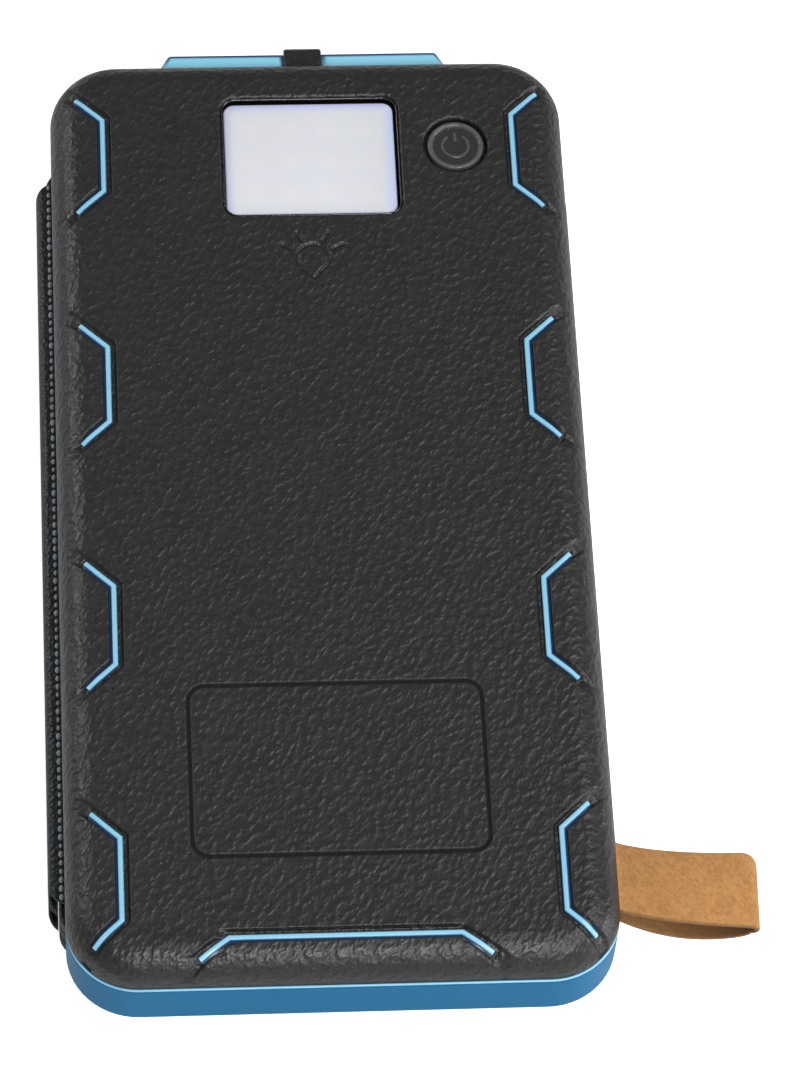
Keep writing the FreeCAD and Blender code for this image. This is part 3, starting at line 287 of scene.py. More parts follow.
def plate(box: NodeBox, radius: float, base_round: float, top_round: float) -> Surface:
    """A plate that fills a box, with round corners and rounded edges: its edge profile carried round
    its outline, closed by flat faces.

    Args:
        box: The box to fill.
        radius: Corner radius of the outline.
        base_round: Radius of the lower edge.
        top_round: Radius of the upper edge.

    Returns:
        The closed plate.
    """
    profile = edge_profile(box.low[2], box.high[2], base_round, top_round)
    return carried(inset_stack(box, radius, profile), start_cap=True, end_cap=True)


def turned(profile: np.ndarray, centre: np.ndarray, steps: int = 96) -> Surface:
    """A profile turned about an upright axis. Its ends lie on the axis, and each is a small ring closed
    by a face.

    Args:
        profile: Rows of (radius, height).
        centre: A point of the axis, of which x and y are read.
        steps: Points round the axis.

    Returns:
        The closed form.
    """
    angle = np.arange(steps) * 2 * math.pi / steps
    radius = np.maximum(profile[:, 0], 0.02)[:, None]
    x = centre[0] + radius * np.cos(angle)
    y = centre[1] + radius * np.sin(angle)
    z = np.repeat(profile[:, 1:2], steps, axis=1)
    return carried(np.stack([x, y, z], axis=-1), start_cap=True, end_cap=True)


def smooth_step(value: np.ndarray) -> np.ndarray:
    """Zero below 0, one above 1, and an even S-curve between: 3v^2 - 2v^3."""
    held = np.clip(value, 0, 1)
    return held * held * (3 - 2 * held)


def outline_distance(x: np.ndarray, y: np.ndarray, half_x: float, half_y: float, radius: float) -> np.ndarray:
    """Distance to a centred rectangle with round corners, negative inside it.

    Args:
        x: Places across.
        y: Places along.
        half_x: Half the rectangle's width.
        half_y: Half its length.
        radius: Its corner radius.

    Returns:
        The distances, one for each place.
    """
    over_x, over_y = np.abs(x) - (half_x - radius), np.abs(y) - (half_y - radius)
    outside = np.hypot(np.maximum(over_x, 0), np.maximum(over_y, 0))
    return outside + np.minimum(np.maximum(over_x, over_y), 0) - radius


def path_distance(x: np.ndarray, y: np.ndarray, path: np.ndarray) -> np.ndarray:
    """Distance to a path of straight runs: the least of the distances to its runs.

    Args:
        x: Places across.
        y: Places along.
        path: The path's corners, of shape (n, 2).

    Returns:
        The distances, one for each place.
    """
    least = np.full(np.shape(x), 1e9)
    for start, end in zip(path[:-1], path[1:]):
        run = end - start
        share = ((x - start[0]) * run[0] + (y - start[1]) * run[1]) / (run @ run)
        share = np.clip(share, 0, 1)
        gap = np.hypot(x - start[0] - share * run[0], y - start[1] - share * run[1])
        least = np.minimum(least, gap)
    return least


def zone(first: float, last: float, spacing: float) -> tuple[float, float, float]:
    """A zone of grid lines between two places, which may be given in either order."""
    return min(first, last), max(first, last), spacing


def grid_lines(low: float, high: float, coarse: float, zones: list[tuple[float, float, float]]) -> np.ndarray:
    """Places of grid lines between two limits, closer together inside zones.

    Args:
        low: First line.
        high: Last line.
        coarse: Spacing outside every zone.
        zones: Rows of (start, end, spacing). Where zones overlap the finest one holds.

    Returns:
        The sorted places of the lines, with one on each zone's ends.
    """
    marks = {low, high}
    for start, end, _ in zones:
        marks.update(mark for mark in (start, end) if low < mark < high)
    marks = sorted(marks)
    lines = [np.array([low])]
    for start, end in zip(marks, marks[1:]):
        middle = (start + end) / 2
        step = min([coarse] + [fine for first, last, fine in zones if first <= middle <= last])
        lines.append(np.linspace(start, end, max(1, math.ceil((end - start) / step - 0.01)) + 1)[1:])
    return np.concatenate(lines)


# ---------------------------------------------------------------- shader groups and finishes

Socket = bpy.types.NodeSocket
Colour = tuple[float, float, float]


class Grain(Enum):
    """The kinds of surface structure that a finish can have."""

    PEBBLED = "pebbled_grain"
    SATIN = "satin_grain"
    HIDE = "hide_grain"
    SUEDE = "suede_nap"
    BRUSHED = "brushed_grain"
    CRINKLED = "crinkled_foil"


class NodeSheet:
    """A short way to place and link nodes in one tree."""

    def __init__(self, tree: bpy.types.NodeTree) -> None:
        """Start on an empty tree."""
        self.tree = tree
        tree.nodes.clear()

    def add(self, kind: str, settings: dict | None = None, **inputs: object) -> bpy.types.Node:
        """Place a node, set its properties and set or link its inputs.

        Args:
            kind: The node's type name.
            settings: Properties of the node itself.
            inputs: Values or output sockets, by input name with spaces as underscores, or by number
                as in_0, in_1.

        Returns:
            The node.
        """
        node = self.tree.nodes.new(kind)
        for name, value in (settings or {}).items():
            setattr(node, name, value)
        for name, value in inputs.items():
            key = int(name[3:]) if name.startswith("in_") else name.replace("_", " ")
            socket = node.inputs[key]
            if isinstance(value, bpy.types.NodeSocket):
                self.tree.links.new(value, socket)
            else:
                socket.default_value = value
        return node

    def math(self, operation: str, first: object, second: object = 0.0, third: object = 0.0) -> Socket:
        """The output of a math node."""
        return self.add("ShaderNodeMath", {"operation": operation}, in_0=first, in_1=second,
                        in_2=third).outputs[0]

    def ranged(self, value: object, low: float, high: float, start: object = 0.0,
               end: object = 1.0) -> Socket:
        """A value's place between two limits, turned by an even S-curve into one between two others.

        Args:
            value: The value to read.
            low: Where the change starts.
            high: Where it ends.
            start: The result at low.
            end: The result at high.

        Returns:
            The result's socket.
        """
        node = self.add(
            "ShaderNodeMapRange", {"interpolation_type": "SMOOTHSTEP"},
            Value=value, From_Min=low, From_Max=high, To_Min=start, To_Max=end,
        )
        return node.outputs["Result"]

    def blended(self, share: object, first: object, second: object) -> Socket:
        """A colour between two, by a share."""
        node = self.add("ShaderNodeMix", {"data_type": "RGBA"}, in_0=share, in_6=first, in_7=second)
        return node.outputs[2]


def new_group(name: str, inputs: dict[str, float],
              outputs: dict[str, str]) -> tuple[NodeSheet, bpy.types.Node, bpy.types.Node]:
    """Start a shader group.

    Args:
        name: The group's name.
        inputs: Float inputs and their usual values.
        outputs: Output names and socket types.

    Returns:
        The sheet to draw on, its input node and its output node.
    """
    group = bpy.data.node_groups.new(name, "ShaderNodeTree")
    for label, value in inputs.items():
        socket = group.interface.new_socket(label, in_out="INPUT", socket_type="NodeSocketFloat")
        socket.default_value = value
    for label, kind in outputs.items():
        group.interface.new_socket(label, in_out="OUTPUT", socket_type=kind)
    sheet = NodeSheet(group)
    return sheet, sheet.add("NodeGroupInput"), sheet.add("NodeGroupOutput")


class GrainShop:
    """Builds each grain group once. Every one reads a pattern size in millimetres and puts out a height
    from 0 to 1 and a mottle from 0 to 1."""

    def __init__(self) -> None:
        """Start with no group built."""
        self.built: dict[Grain, bpy.types.NodeTree] = {}

    def get(self, grain: Grain) -> bpy.types.NodeTree:
        """The group of one grain, built on its first use."""
        if grain not in self.built:
            self.built[grain] = self._build(grain)
        return self.built[grain]

    def _scaled(self, sheet: NodeSheet, size: Socket, stretch: tuple[float, float, float],
                turn: float) -> Socket:
        """Object coordinates, turned about Z and then drawn out along each new axis, with the pattern
        size as the unit.

        Args:
            sheet: The sheet to draw on.
            size: The pattern size, in millimetres.
            stretch: How far the pattern is drawn out along each turned axis.
            turn: The turn about Z, in radians.

        Returns:
            The place in the pattern.
        """
        place = sheet.add("ShaderNodeTexCoord").outputs["Object"]
        turned_place = sheet.add("ShaderNodeMapping", {"vector_type": "TEXTURE"}, Vector=place,
                                 Rotation=(0, 0, turn), Scale=stretch).outputs[0]
        per_size = sheet.math("DIVIDE", 1 / MM, size)
        return sheet.add("ShaderNodeVectorMath", {"operation": "SCALE"}, in_0=turned_place,
                         Scale=per_size).outputs[0]

    def _noise(self, sheet: NodeSheet, place: object, scale: float, detail: float = 2.0) -> Socket:
        """Plain noise at a scale."""
        return sheet.add("ShaderNodeTexNoise", Vector=place, Scale=scale, Detail=detail).outputs[0]

    def _build(self, grain: Grain) -> bpy.types.NodeTree:
        """Build one grain's group.

        Pebbled: soft folds of noise drawn out along a diagonal, with a finer noise on them. Hide: a dome
        on each of many small cells, with a fine noise. Suede: short strokes of noise on broad noise.
        Brushed: noise drawn out along X. Crinkled: ridged noise. Satin: fine noise.

        Args:
            grain: The grain to build.

        Returns:
            The group's tree.
        """
        sheet, given, put = new_group(
            grain.value, {"Pattern Size": 1.0},
            {"Height": "NodeSocketFloat", "Mottle": "NodeSocketFloat"},
        )
        size = given.outputs[0]
        if grain is Grain.PEBBLED:
            place = self._scaled(sheet, size, (1.2, 0.9, 1.0), math.radians(56))
            folds = self._noise(sheet, place, 0.85, 1.5)
            height = sheet.ranged(folds, 0.28, 0.72)
            height = sheet.math("MULTIPLY_ADD", self._noise(sheet, place, 2.1, 1.0), 0.14, height)
            mottle = self._noise(sheet, place, 0.12, 3.0)
        elif grain is Grain.HIDE:
            place = self._scaled(sheet, size, (1.1, 0.9, 1.0), math.radians(52))
            cells = sheet.add("ShaderNodeTexVoronoi", Vector=place, Scale=1.0)
            dome = sheet.ranged(cells.outputs["Distance"], 0.05, 0.82, 1.0, 0.0)
            height = sheet.math("MULTIPLY_ADD", self._noise(sheet, place, 2.6), 0.2, dome)
            mottle = self._noise(sheet, place, 0.12, 3.0)
        elif grain is Grain.SUEDE:
            place = self._scaled(sheet, size, (1.3, 0.8, 1.0), math.radians(-50))
            strokes = self._noise(sheet, place, 1.3, 5.0)
            broad = self._noise(sheet, place, 0.25, 2.0)
            height = sheet.math("MULTIPLY_ADD", self._noise(sheet, place, 6.0, 3.0), 0.5, strokes)
            mottle = sheet.ranged(sheet.math("MULTIPLY_ADD", broad, 0.45, strokes), 0.42, 0.98)
        elif grain is Grain.BRUSHED:
            place = self._scaled(sheet, size, (0.05, 1, 1), 0.0)
            height = self._noise(sheet, place, 3.0, 3.0)
            mottle = self._noise(sheet, place, 0.8)
        elif grain is Grain.CRINKLED:
            place = self._scaled(sheet, size, (1, 1, 1), 0.4)
            ridge = self._noise(sheet, place, 0.5, 4.0)
            height = sheet.math("ABSOLUTE", sheet.math("SUBTRACT", ridge, 0.5))
            mottle = self._noise(sheet, place, 0.2)
        else:
            place = self._scaled(sheet, size, (1, 1, 1), 0.0)
            height = self._noise(sheet, place, 1.6, 4.0)
            mottle = self._noise(sheet, place, 0.05, 3.0)
        sheet.tree.links.new(height, put.inputs[0])
        sheet.tree.links.new(mottle, put.inputs[1])
        return sheet.tree


GRAINS = GrainShop()


@dataclass(frozen=True)
class Finish:
    """A surface finish: a colour that drifts to a second one, a roughness range and a grain."""

    slot: str
    colour: Colour
    second: Colour
    roughness: tuple[float, float] = (0.4, 0.5)
    metallic: float = 0.0
    specular: float = 0.5
    grain: Grain = Grain.SATIN
    grain_size: float = 0.4
    grain_height: float = 0.01
    coat: float = 0.0
    sheen: float = 0.0

    def build(self) -> bpy.types.Material:
        """Make the material.

        Returns:
            A material named after its slot.
        """
        material = bpy.data.materials.new(self.slot)
        material.use_nodes = True
        sheet = NodeSheet(material.node_tree)
        grain = sheet.add("ShaderNodeGroup", {"node_tree": GRAINS.get(self.grain)},
                          Pattern_Size=self.grain_size)
        height, mottle = grain.outputs["Height"], grain.outputs["Mottle"]
        colour = sheet.blended(mottle, (*self.colour, 1), (*self.second, 1))
        roughness = sheet.ranged(height, 0.0, 1.0, *self.roughness)
        normal = sheet.add("ShaderNodeBump", Strength=1.0, Distance=self.grain_height * MM, Height=height)
        self.finish(sheet, colour, roughness, normal.outputs[0])
        return material

    def finish(self, sheet: NodeSheet, colour: object, roughness: object, normal: object) -> None:
        """Join the shader itself, and let a finish of its own kind add to it."""
        shader = sheet.add(
            "ShaderNodeBsdfPrincipled", Base_Color=colour, Roughness=roughness, Metallic=self.metallic,
            Specular_IOR_Level=self.specular, Normal=normal, Coat_Weight=self.coat, Coat_Roughness=0.12,
            Sheen_Weight=self.sheen,
        )
        sheet.add("ShaderNodeOutputMaterial", Surface=shader.outputs[0])


@dataclass(frozen=True)
class MarkedFinish(Finish):
    """A finish with a second colour where the mesh's own mark is 1, such as a cut edge, painted shade or a
    painted highlight. Where marked_rough is more than 0, it is that rough there too."""

    mark: str = ""
    marked: Colour = (0.0, 0.0, 0.0)
    marked_rough: float = 0.0

    def finish(self, sheet: NodeSheet, colour: object, roughness: object, normal: object) -> None:
        """Mix in the marked colour and roughness by the mesh's attribute, and join the shader.

        Args:
            sheet: The material's sheet.
            colour: The colour worked out so far.
            roughness: The roughness worked out so far.
            normal: The normal worked out so far.
        """
        share = sheet.add("ShaderNodeAttribute", {"attribute_name": self.mark}).outputs["Fac"]
        if self.marked_rough:
            roughness = sheet.ranged(share, 0.0, 1.0, roughness, self.marked_rough)
        super().finish(sheet, sheet.blended(share, colour, (*self.marked, 1)), roughness, normal)


@dataclass(frozen=True)
class LensFinish(Finish):
    """The frosted lens: pale, a little blue towards its rim, with a faint grid of lights behind it."""

    centre: tuple[float, float] = (0.0, 0.0)
    half: tuple[float, float] = (14.0, 11.0)
    pitch: tuple[float, float] = (6.4, 6.2)
    glow: float = 0.12

    def finish(self, sheet: NodeSheet, colour: object, roughness: object, normal: object) -> None:
        """Tint the rim, add the lights' soft spots and join the shader.

        Args:
            sheet: The material's sheet.
            colour: The colour worked out so far.
            roughness: The roughness worked out so far.
            normal: The normal worked out so far.
        """
        place = sheet.add("ShaderNodeTexCoord").outputs["Object"]
        split = sheet.add("ShaderNodeSeparateXYZ", Vector=place)
        rims, waves = [], []
        for axis in range(2):
            off = sheet.math("SUBTRACT", split.outputs[axis], self.centre[axis] * MM)
            far = sheet.math("DIVIDE", sheet.math("ABSOLUTE", off), self.half[axis] * MM)
            rims.append(sheet.ranged(far, 0.84, 1.03))
            phase = math.pi if axis == 0 else 0.0
            turn = sheet.math("MULTIPLY_ADD", off, 2 * math.pi / (self.pitch[axis] * MM), phase)
            waves.append(sheet.math("COSINE", turn))
        rim = sheet.math("MAXIMUM", rims[0], rims[1])
        spot = sheet.math("MULTIPLY", sheet.ranged(waves[0], -1, 1), sheet.ranged(waves[1], -1, 1))
        lit = sheet.blended(spot, (0.60, 0.615, 0.655, 1), (0.62, 0.63, 0.655, 1))
        tinted = sheet.blended(rim, lit, (0.46, 0.51, 0.76, 1))
        shader = sheet.add(
            "ShaderNodeBsdfPrincipled", Base_Color=tinted, Roughness=roughness, Normal=normal,
            Emission_Color=tinted, Emission_Strength=self.glow, Coat_Weight=self.coat, Coat_Roughness=0.08,
        )
        sheet.add("ShaderNodeOutputMaterial", Surface=shader.outputs[0])


@dataclass(frozen=True)
class CellFinish(Finish):
    """Solar cells under clear film: dark blue cells with fine silver bars and fingers, and gaps between
    them. A cell has three bars and twelve fingers."""

    origin: tuple[float, float] = (0.0, 0.0)
    pitch: tuple[float, float] = (37.0, 21.66)
    gap: tuple[float, float] = (1.3, 1.1)
    bar: float = 0.6
    finger: float = 0.14

    def lines(self, sheet: NodeSheet, value: object, pitch: float, width: float) -> Socket:
        """A mask of fine lines: high where a place along one axis is near a multiple of the pitch.

        Args:
            sheet: The sheet to draw on.
            value: The place along the axis, in metres.
            pitch: Distance between lines, in millimetres.
            width: Width of a line, in millimetres.

        Returns:
            The mask's socket.
        """
        share = sheet.math("FRACT", sheet.math("DIVIDE", value, pitch * MM))
        near = sheet.math("ABSOLUTE", sheet.math("SUBTRACT", share, 0.5))
        edge = 0.5 - width / pitch / 2
        return sheet.ranged(near, edge - 0.1 * width / pitch, edge + 0.1 * width / pitch)

    def finish(self, sheet: NodeSheet, colour: object, roughness: object, normal: object) -> None:
        """Lay the cells' gaps, bars and fingers over the blue and join the shader.

        Args:
            sheet: The material's sheet.
            colour: The colour worked out so far.
            roughness: The roughness worked out so far.
            normal: The normal worked out so far.
        """
        place = sheet.add("ShaderNodeTexCoord").outputs["Object"]
        split = sheet.add("ShaderNodeSeparateXYZ", Vector=place)
        x = sheet.math("SUBTRACT", split.outputs[0], self.origin[0] * MM)
        y = sheet.math("SUBTRACT", split.outputs[1], self.origin[1] * MM)
        flakes = sheet.add("ShaderNodeTexVoronoi", Vector=place, Scale=220.0).outputs["Color"]
        tone = sheet.add("ShaderNodeSeparateXYZ", Vector=flakes).outputs[0]
        blue = sheet.blended(tone, (*self.colour, 1), (*self.second, 1))
        bars = self.lines(sheet, x, self.pitch[0] / 3, self.bar)
        fingers = self.lines(sheet, y, self.pitch[1] / 12, self.finger)
        silver = sheet.math("MAXIMUM", bars, sheet.math("MULTIPLY", fingers, 0.5))
        with_bars = sheet.blended(silver, blue, (0.55, 0.57, 0.60, 1))
        gaps = sheet.math("MAXIMUM", self.lines(sheet, x, self.pitch[0], self.gap[0]),
                          self.lines(sheet, y, self.pitch[1], self.gap[1]))
        base = sheet.blended(gaps, with_bars, (0.03, 0.032, 0.04, 1))
        shader = sheet.add(
            "ShaderNodeBsdfPrincipled", Base_Color=base, Roughness=roughness, Normal=normal,
            Coat_Weight=self.coat, Coat_Roughness=0.1,
        )
        sheet.add("ShaderNodeOutputMaterial", Surface=shader.outputs[0])


class FinishRack:
    """Every finish of the power bank, by its slot's name. A material is made on its first use."""

    def __init__(self) -> None:
        """List the finishes."""
        lens, laminate = NodeBox.of("lamp_lens"), NodeBox.of("leaf_1_solar_laminate")
        lights = NodeBox.of("lamp_leds")
        cell_pitch = (laminate.half[0], laminate.half[1] / 3)
        pebbled = dict(grain=Grain.PEBBLED, grain_size=0.95, grain_height=0.12)
        finishes = [
            # In the label groove the face is painted near-black and rough: painted shade in the groove.
            MarkedFinish("grained_plastic", (0.0110, 0.0108, 0.0105), (0.017, 0.0165, 0.016), (0.49, 0.4),
                         mark="in_groove", marked=(0.001, 0.001, 0.001), marked_rough=0.95, **pebbled),
            Finish("blue_plastic", (0.005, 0.128, 0.275), (0.007, 0.138, 0.295), (0.44, 0.38), specular=0.08,
                   grain_height=0.004),
            # The accent lines' sides and low foot are painted navy by their mark: painted shade deep in the
            # channel.
            MarkedFinish("accent_plastic", (0.23, 0.53, 0.74), (0.27, 0.59, 0.78), (0.34, 0.28),
                         grain_height=0.004,
                         mark="deep_painted_shade", marked=(0.004, 0.022, 0.085)),
            # The rubber's outer top edge is painted dark navy by its mark: painted shade on the edge that
            # turns away from the light.
            MarkedFinish("blue_rubber", (0.25, 0.62, 0.82), (0.29, 0.68, 0.86), (0.45, 0.38),
                         grain_height=0.008,
                         mark="outer_edge_painted_shade", marked=(0.010, 0.045, 0.16)),
            # The cap's raised ring is painted a paler grey by its mark: a painted highlight on the ring.
            MarkedFinish("button_plastic", (0.020, 0.020, 0.020), (0.030, 0.030, 0.030), (0.36, 0.28),
                         grain_size=1.5, grain_height=0.16, mark="rim_painted_highlight",
                         marked=(0.085, 0.085, 0.082)),
            Finish("sign_plastic", (0.055, 0.055, 0.054), (0.07, 0.07, 0.068), (0.4, 0.34),
                   grain_height=0.004),
            LensFinish("frosted_lens", (0.8, 0.84, 0.92), (0.84, 0.87, 0.94), (0.5, 0.44), grain_height=0.002,
                       coat=0.15, centre=tuple(lens.centre[:2]), half=tuple(lens.half[:2] - LENS_FLANGE),
                       pitch=(lights.half[0] * 2 / 3.5, lights.half[1] * 2 / 2.5)),
            Finish("white_plastic", (0.78, 0.78, 0.78), (0.82, 0.82, 0.82), (0.35, 0.3), grain_height=0.003),
            Finish("lamp_light", (0.86, 0.80, 0.45), (0.9, 0.86, 0.6), (0.3, 0.25), grain_height=0.002,
                   coat=0.4),
            Finish("leatherette", (0.010, 0.010, 0.0105), (0.016, 0.016, 0.017), (0.5, 0.38),
                   grain=Grain.HIDE, grain_size=0.8, grain_height=0.09),
            # The strap's mark darkens its cut edges a little, and paints its inner side darker brown towards
            # the far fold as painted shade.
            MarkedFinish("tan_leather", (0.335, 0.155, 0.050), (0.47, 0.236, 0.083), (0.92, 0.78),
                         specular=0.2,
                         grain=Grain.SUEDE, grain_size=0.75, grain_height=0.1, sheen=0.1, mark="cut_edge_and_inner_shade",
                         marked=(0.075, 0.032, 0.011)),
            CellFinish("solar_laminate", (0.006, 0.010, 0.035), (0.012, 0.022, 0.075), (0.30, 0.24),
                       grain_height=0.003, coat=0.9, origin=tuple(laminate.centre[:2]), pitch=cell_pitch),
            Finish("stiff_board", (0.26, 0.20, 0.14), (0.33, 0.26, 0.18), (0.85, 0.75), grain=Grain.SUEDE,
                   grain_size=0.8, grain_height=0.03),
            Finish("circuit_board", (0.010, 0.085, 0.035), (0.016, 0.12, 0.05), (0.3, 0.24),
                   grain_height=0.004,
                   coat=0.5),
            Finish("steel", (0.56, 0.56, 0.58), (0.64, 0.64, 0.66), (0.3, 0.22), 1.0, grain=Grain.BRUSHED,
                   grain_size=0.3, grain_height=0.004),
            Finish("nickel", (0.62, 0.61, 0.60), (0.70, 0.69, 0.68), (0.24, 0.16), 1.0, grain=Grain.BRUSHED,
                   grain_size=0.25, grain_height=0.002),
            Finish("contact_plastic", (0.02, 0.02, 0.022), (0.03, 0.03, 0.032), (0.45, 0.4),
                   grain_height=0.003),
            Finish("dark_component", (0.018, 0.018, 0.02), (0.028, 0.028, 0.03), (0.5, 0.42),
                   grain_height=0.005),
            Finish("cell_foil", (0.60, 0.61, 0.63), (0.68, 0.69, 0.71), (0.38, 0.26), 1.0,
                   grain=Grain.CRINKLED,
                   grain_size=3.0, grain_height=0.06),
            Finish("foam", (0.62, 0.62, 0.58), (0.7, 0.7, 0.66), (0.95, 0.85), grain_size=0.5,
                   grain_height=0.05),
            Finish("lead_jacket", (0.42, 0.02, 0.015), (0.5, 0.03, 0.02), (0.5, 0.4), grain_height=0.004),
            Finish("seal_rubber", (0.02, 0.02, 0.02), (0.03, 0.03, 0.03), (0.7, 0.6), grain_height=0.006),
            Finish("glossy_bezel", (0.004, 0.004, 0.0045), (0.005, 0.005, 0.0055), (0.2, 0.16), specular=0.9,
                   grain_height=0.002),
            # Near-black and matt: painted shade for the walls of the lamp window.
            Finish("painted_shade_black", (0.002, 0.002, 0.002), (0.003, 0.003, 0.003), (0.9, 0.8), specular=0.05,
                   grain_height=0.004),
            Finish("stitch_thread", (0.34, 0.336, 0.32), (0.62, 0.61, 0.58), (0.6, 0.45), grain=Grain.SATIN,
                   grain_size=0.5, grain_height=0.05, sheen=0.2),
        ]
        self.finishes = {finish.slot: finish for finish in finishes}
        self.made: dict[str, bpy.types.Material] = {}

    def get(self, slot: str) -> bpy.types.Material:
        """The material of one slot."""
        if slot not in self.made:
            self.made[slot] = self.finishes[slot].build()
        return self.made[slot]


class Workshop:
    """Turns surfaces into dressed pieces that ride on their bodies, and logs each one."""

    def __init__(self, rack: FinishRack) -> None:
        """Keep the finishes, and note each node's slot and body.

        Args:
            rack: The finishes, by slot.
        """
        self.rack = rack
        self.slots = {row["node"]: row["material_slot"] for row in frame["record"]["subparts"]}
        self.count = 0

    def piece(self, name: str, mesh: bpy.types.Mesh, slot: str, body: str, stands_for: tuple[str, ...] = (),
              sharp: float = 38.0, finish: str | None = None) -> bpy.types.Object:
        """Make a mesh a piece of the object.

        Args:
            name: The piece's name.
            mesh: Its mesh, in metres and in place.
            slot: The record's material slot.
            body: The body it rides on.
            stands_for: CAD nodes that it replaces.
            sharp: Edges that turn by more degrees than this stay sharp.
            finish: A finish other than the slot's own.

        Returns:
            The new object.
        """
        made = bpy.data.objects.new(name, mesh)
        bpy.context.scene.collection.objects.link(made)
        mesh.materials.append(self.rack.get(finish or slot))
        if sharp:
            mesh.shade_smooth()
            mesh.set_sharp_from_angle(angle=math.radians(sharp))
        if body:
            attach(made, body)
        if stands_for:
            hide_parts(*stands_for)
        self.count += 1
        log.info("%s: %d faces on %s", name, len(mesh.polygons), body or "two bodies")
        return made

    def softened(self, node: str, body: str, width: float, segments: int = 2) -> bpy.types.Object:
        """A CAD node's own form with its triangles merged and its edges rounded.

        Args:
            node: The CAD node.
            body: The body it rides on.
            width: Width of the rounding, in millimetres.
            segments: Faces across the rounding.

        Returns:
            The piece that stands for the node.
        """
        mesh = frame["nodes"][node].data.copy()
        mesh.materials.clear()
        work = bmesh.new()
        work.from_mesh(mesh)
        bmesh.ops.remove_doubles(work, verts=work.verts, dist=0.002 * MM)
        bmesh.ops.dissolve_limit(work, angle_limit=math.radians(0.6), verts=work.verts, edges=work.edges)
        work.to_mesh(mesh)
        work.free()
        made = self.piece(f"{node}_skin", mesh, self.slots[node], body, (node,))
        rounding = made.modifiers.new("rounded_edges", "BEVEL")
        rounding.width = width * MM
        rounding.segments = segments
        rounding.limit_method = "ANGLE"
        rounding.angle_limit = math.radians(35)
        rounding.harden_normals = True
        return made

    def mark(self, mesh: bpy.types.Mesh, name: str, values: np.ndarray) -> None:
        """Give a mesh a float value for each of its points."""
        attribute = mesh.attributes.new(name, "FLOAT", "POINT")
        attribute.data.foreach_set("value", values.astype(np.float32).ravel())

    def dress(self, node: str) -> None:
        """Give a CAD node that stays its slot's finish.

        Args:
            node: The CAD node.
        """
        mesh = frame["nodes"][node].data
        mesh.materials.clear()
        mesh.materials.append(self.rack.get(self.slots[node]))


# ---------------------------------------------------------------- lamp face

@dataclass(frozen=True)
class Channel:
    """One bracket-shaped channel in the face, and the bright line that lies in it.

    path is the channel's own middle and line the bright line's. pad is the side of the line, 1 for its
    left, on which the pad inside the bracket lies.
    """

    path: np.ndarray
    line: np.ndarray
    pad: int


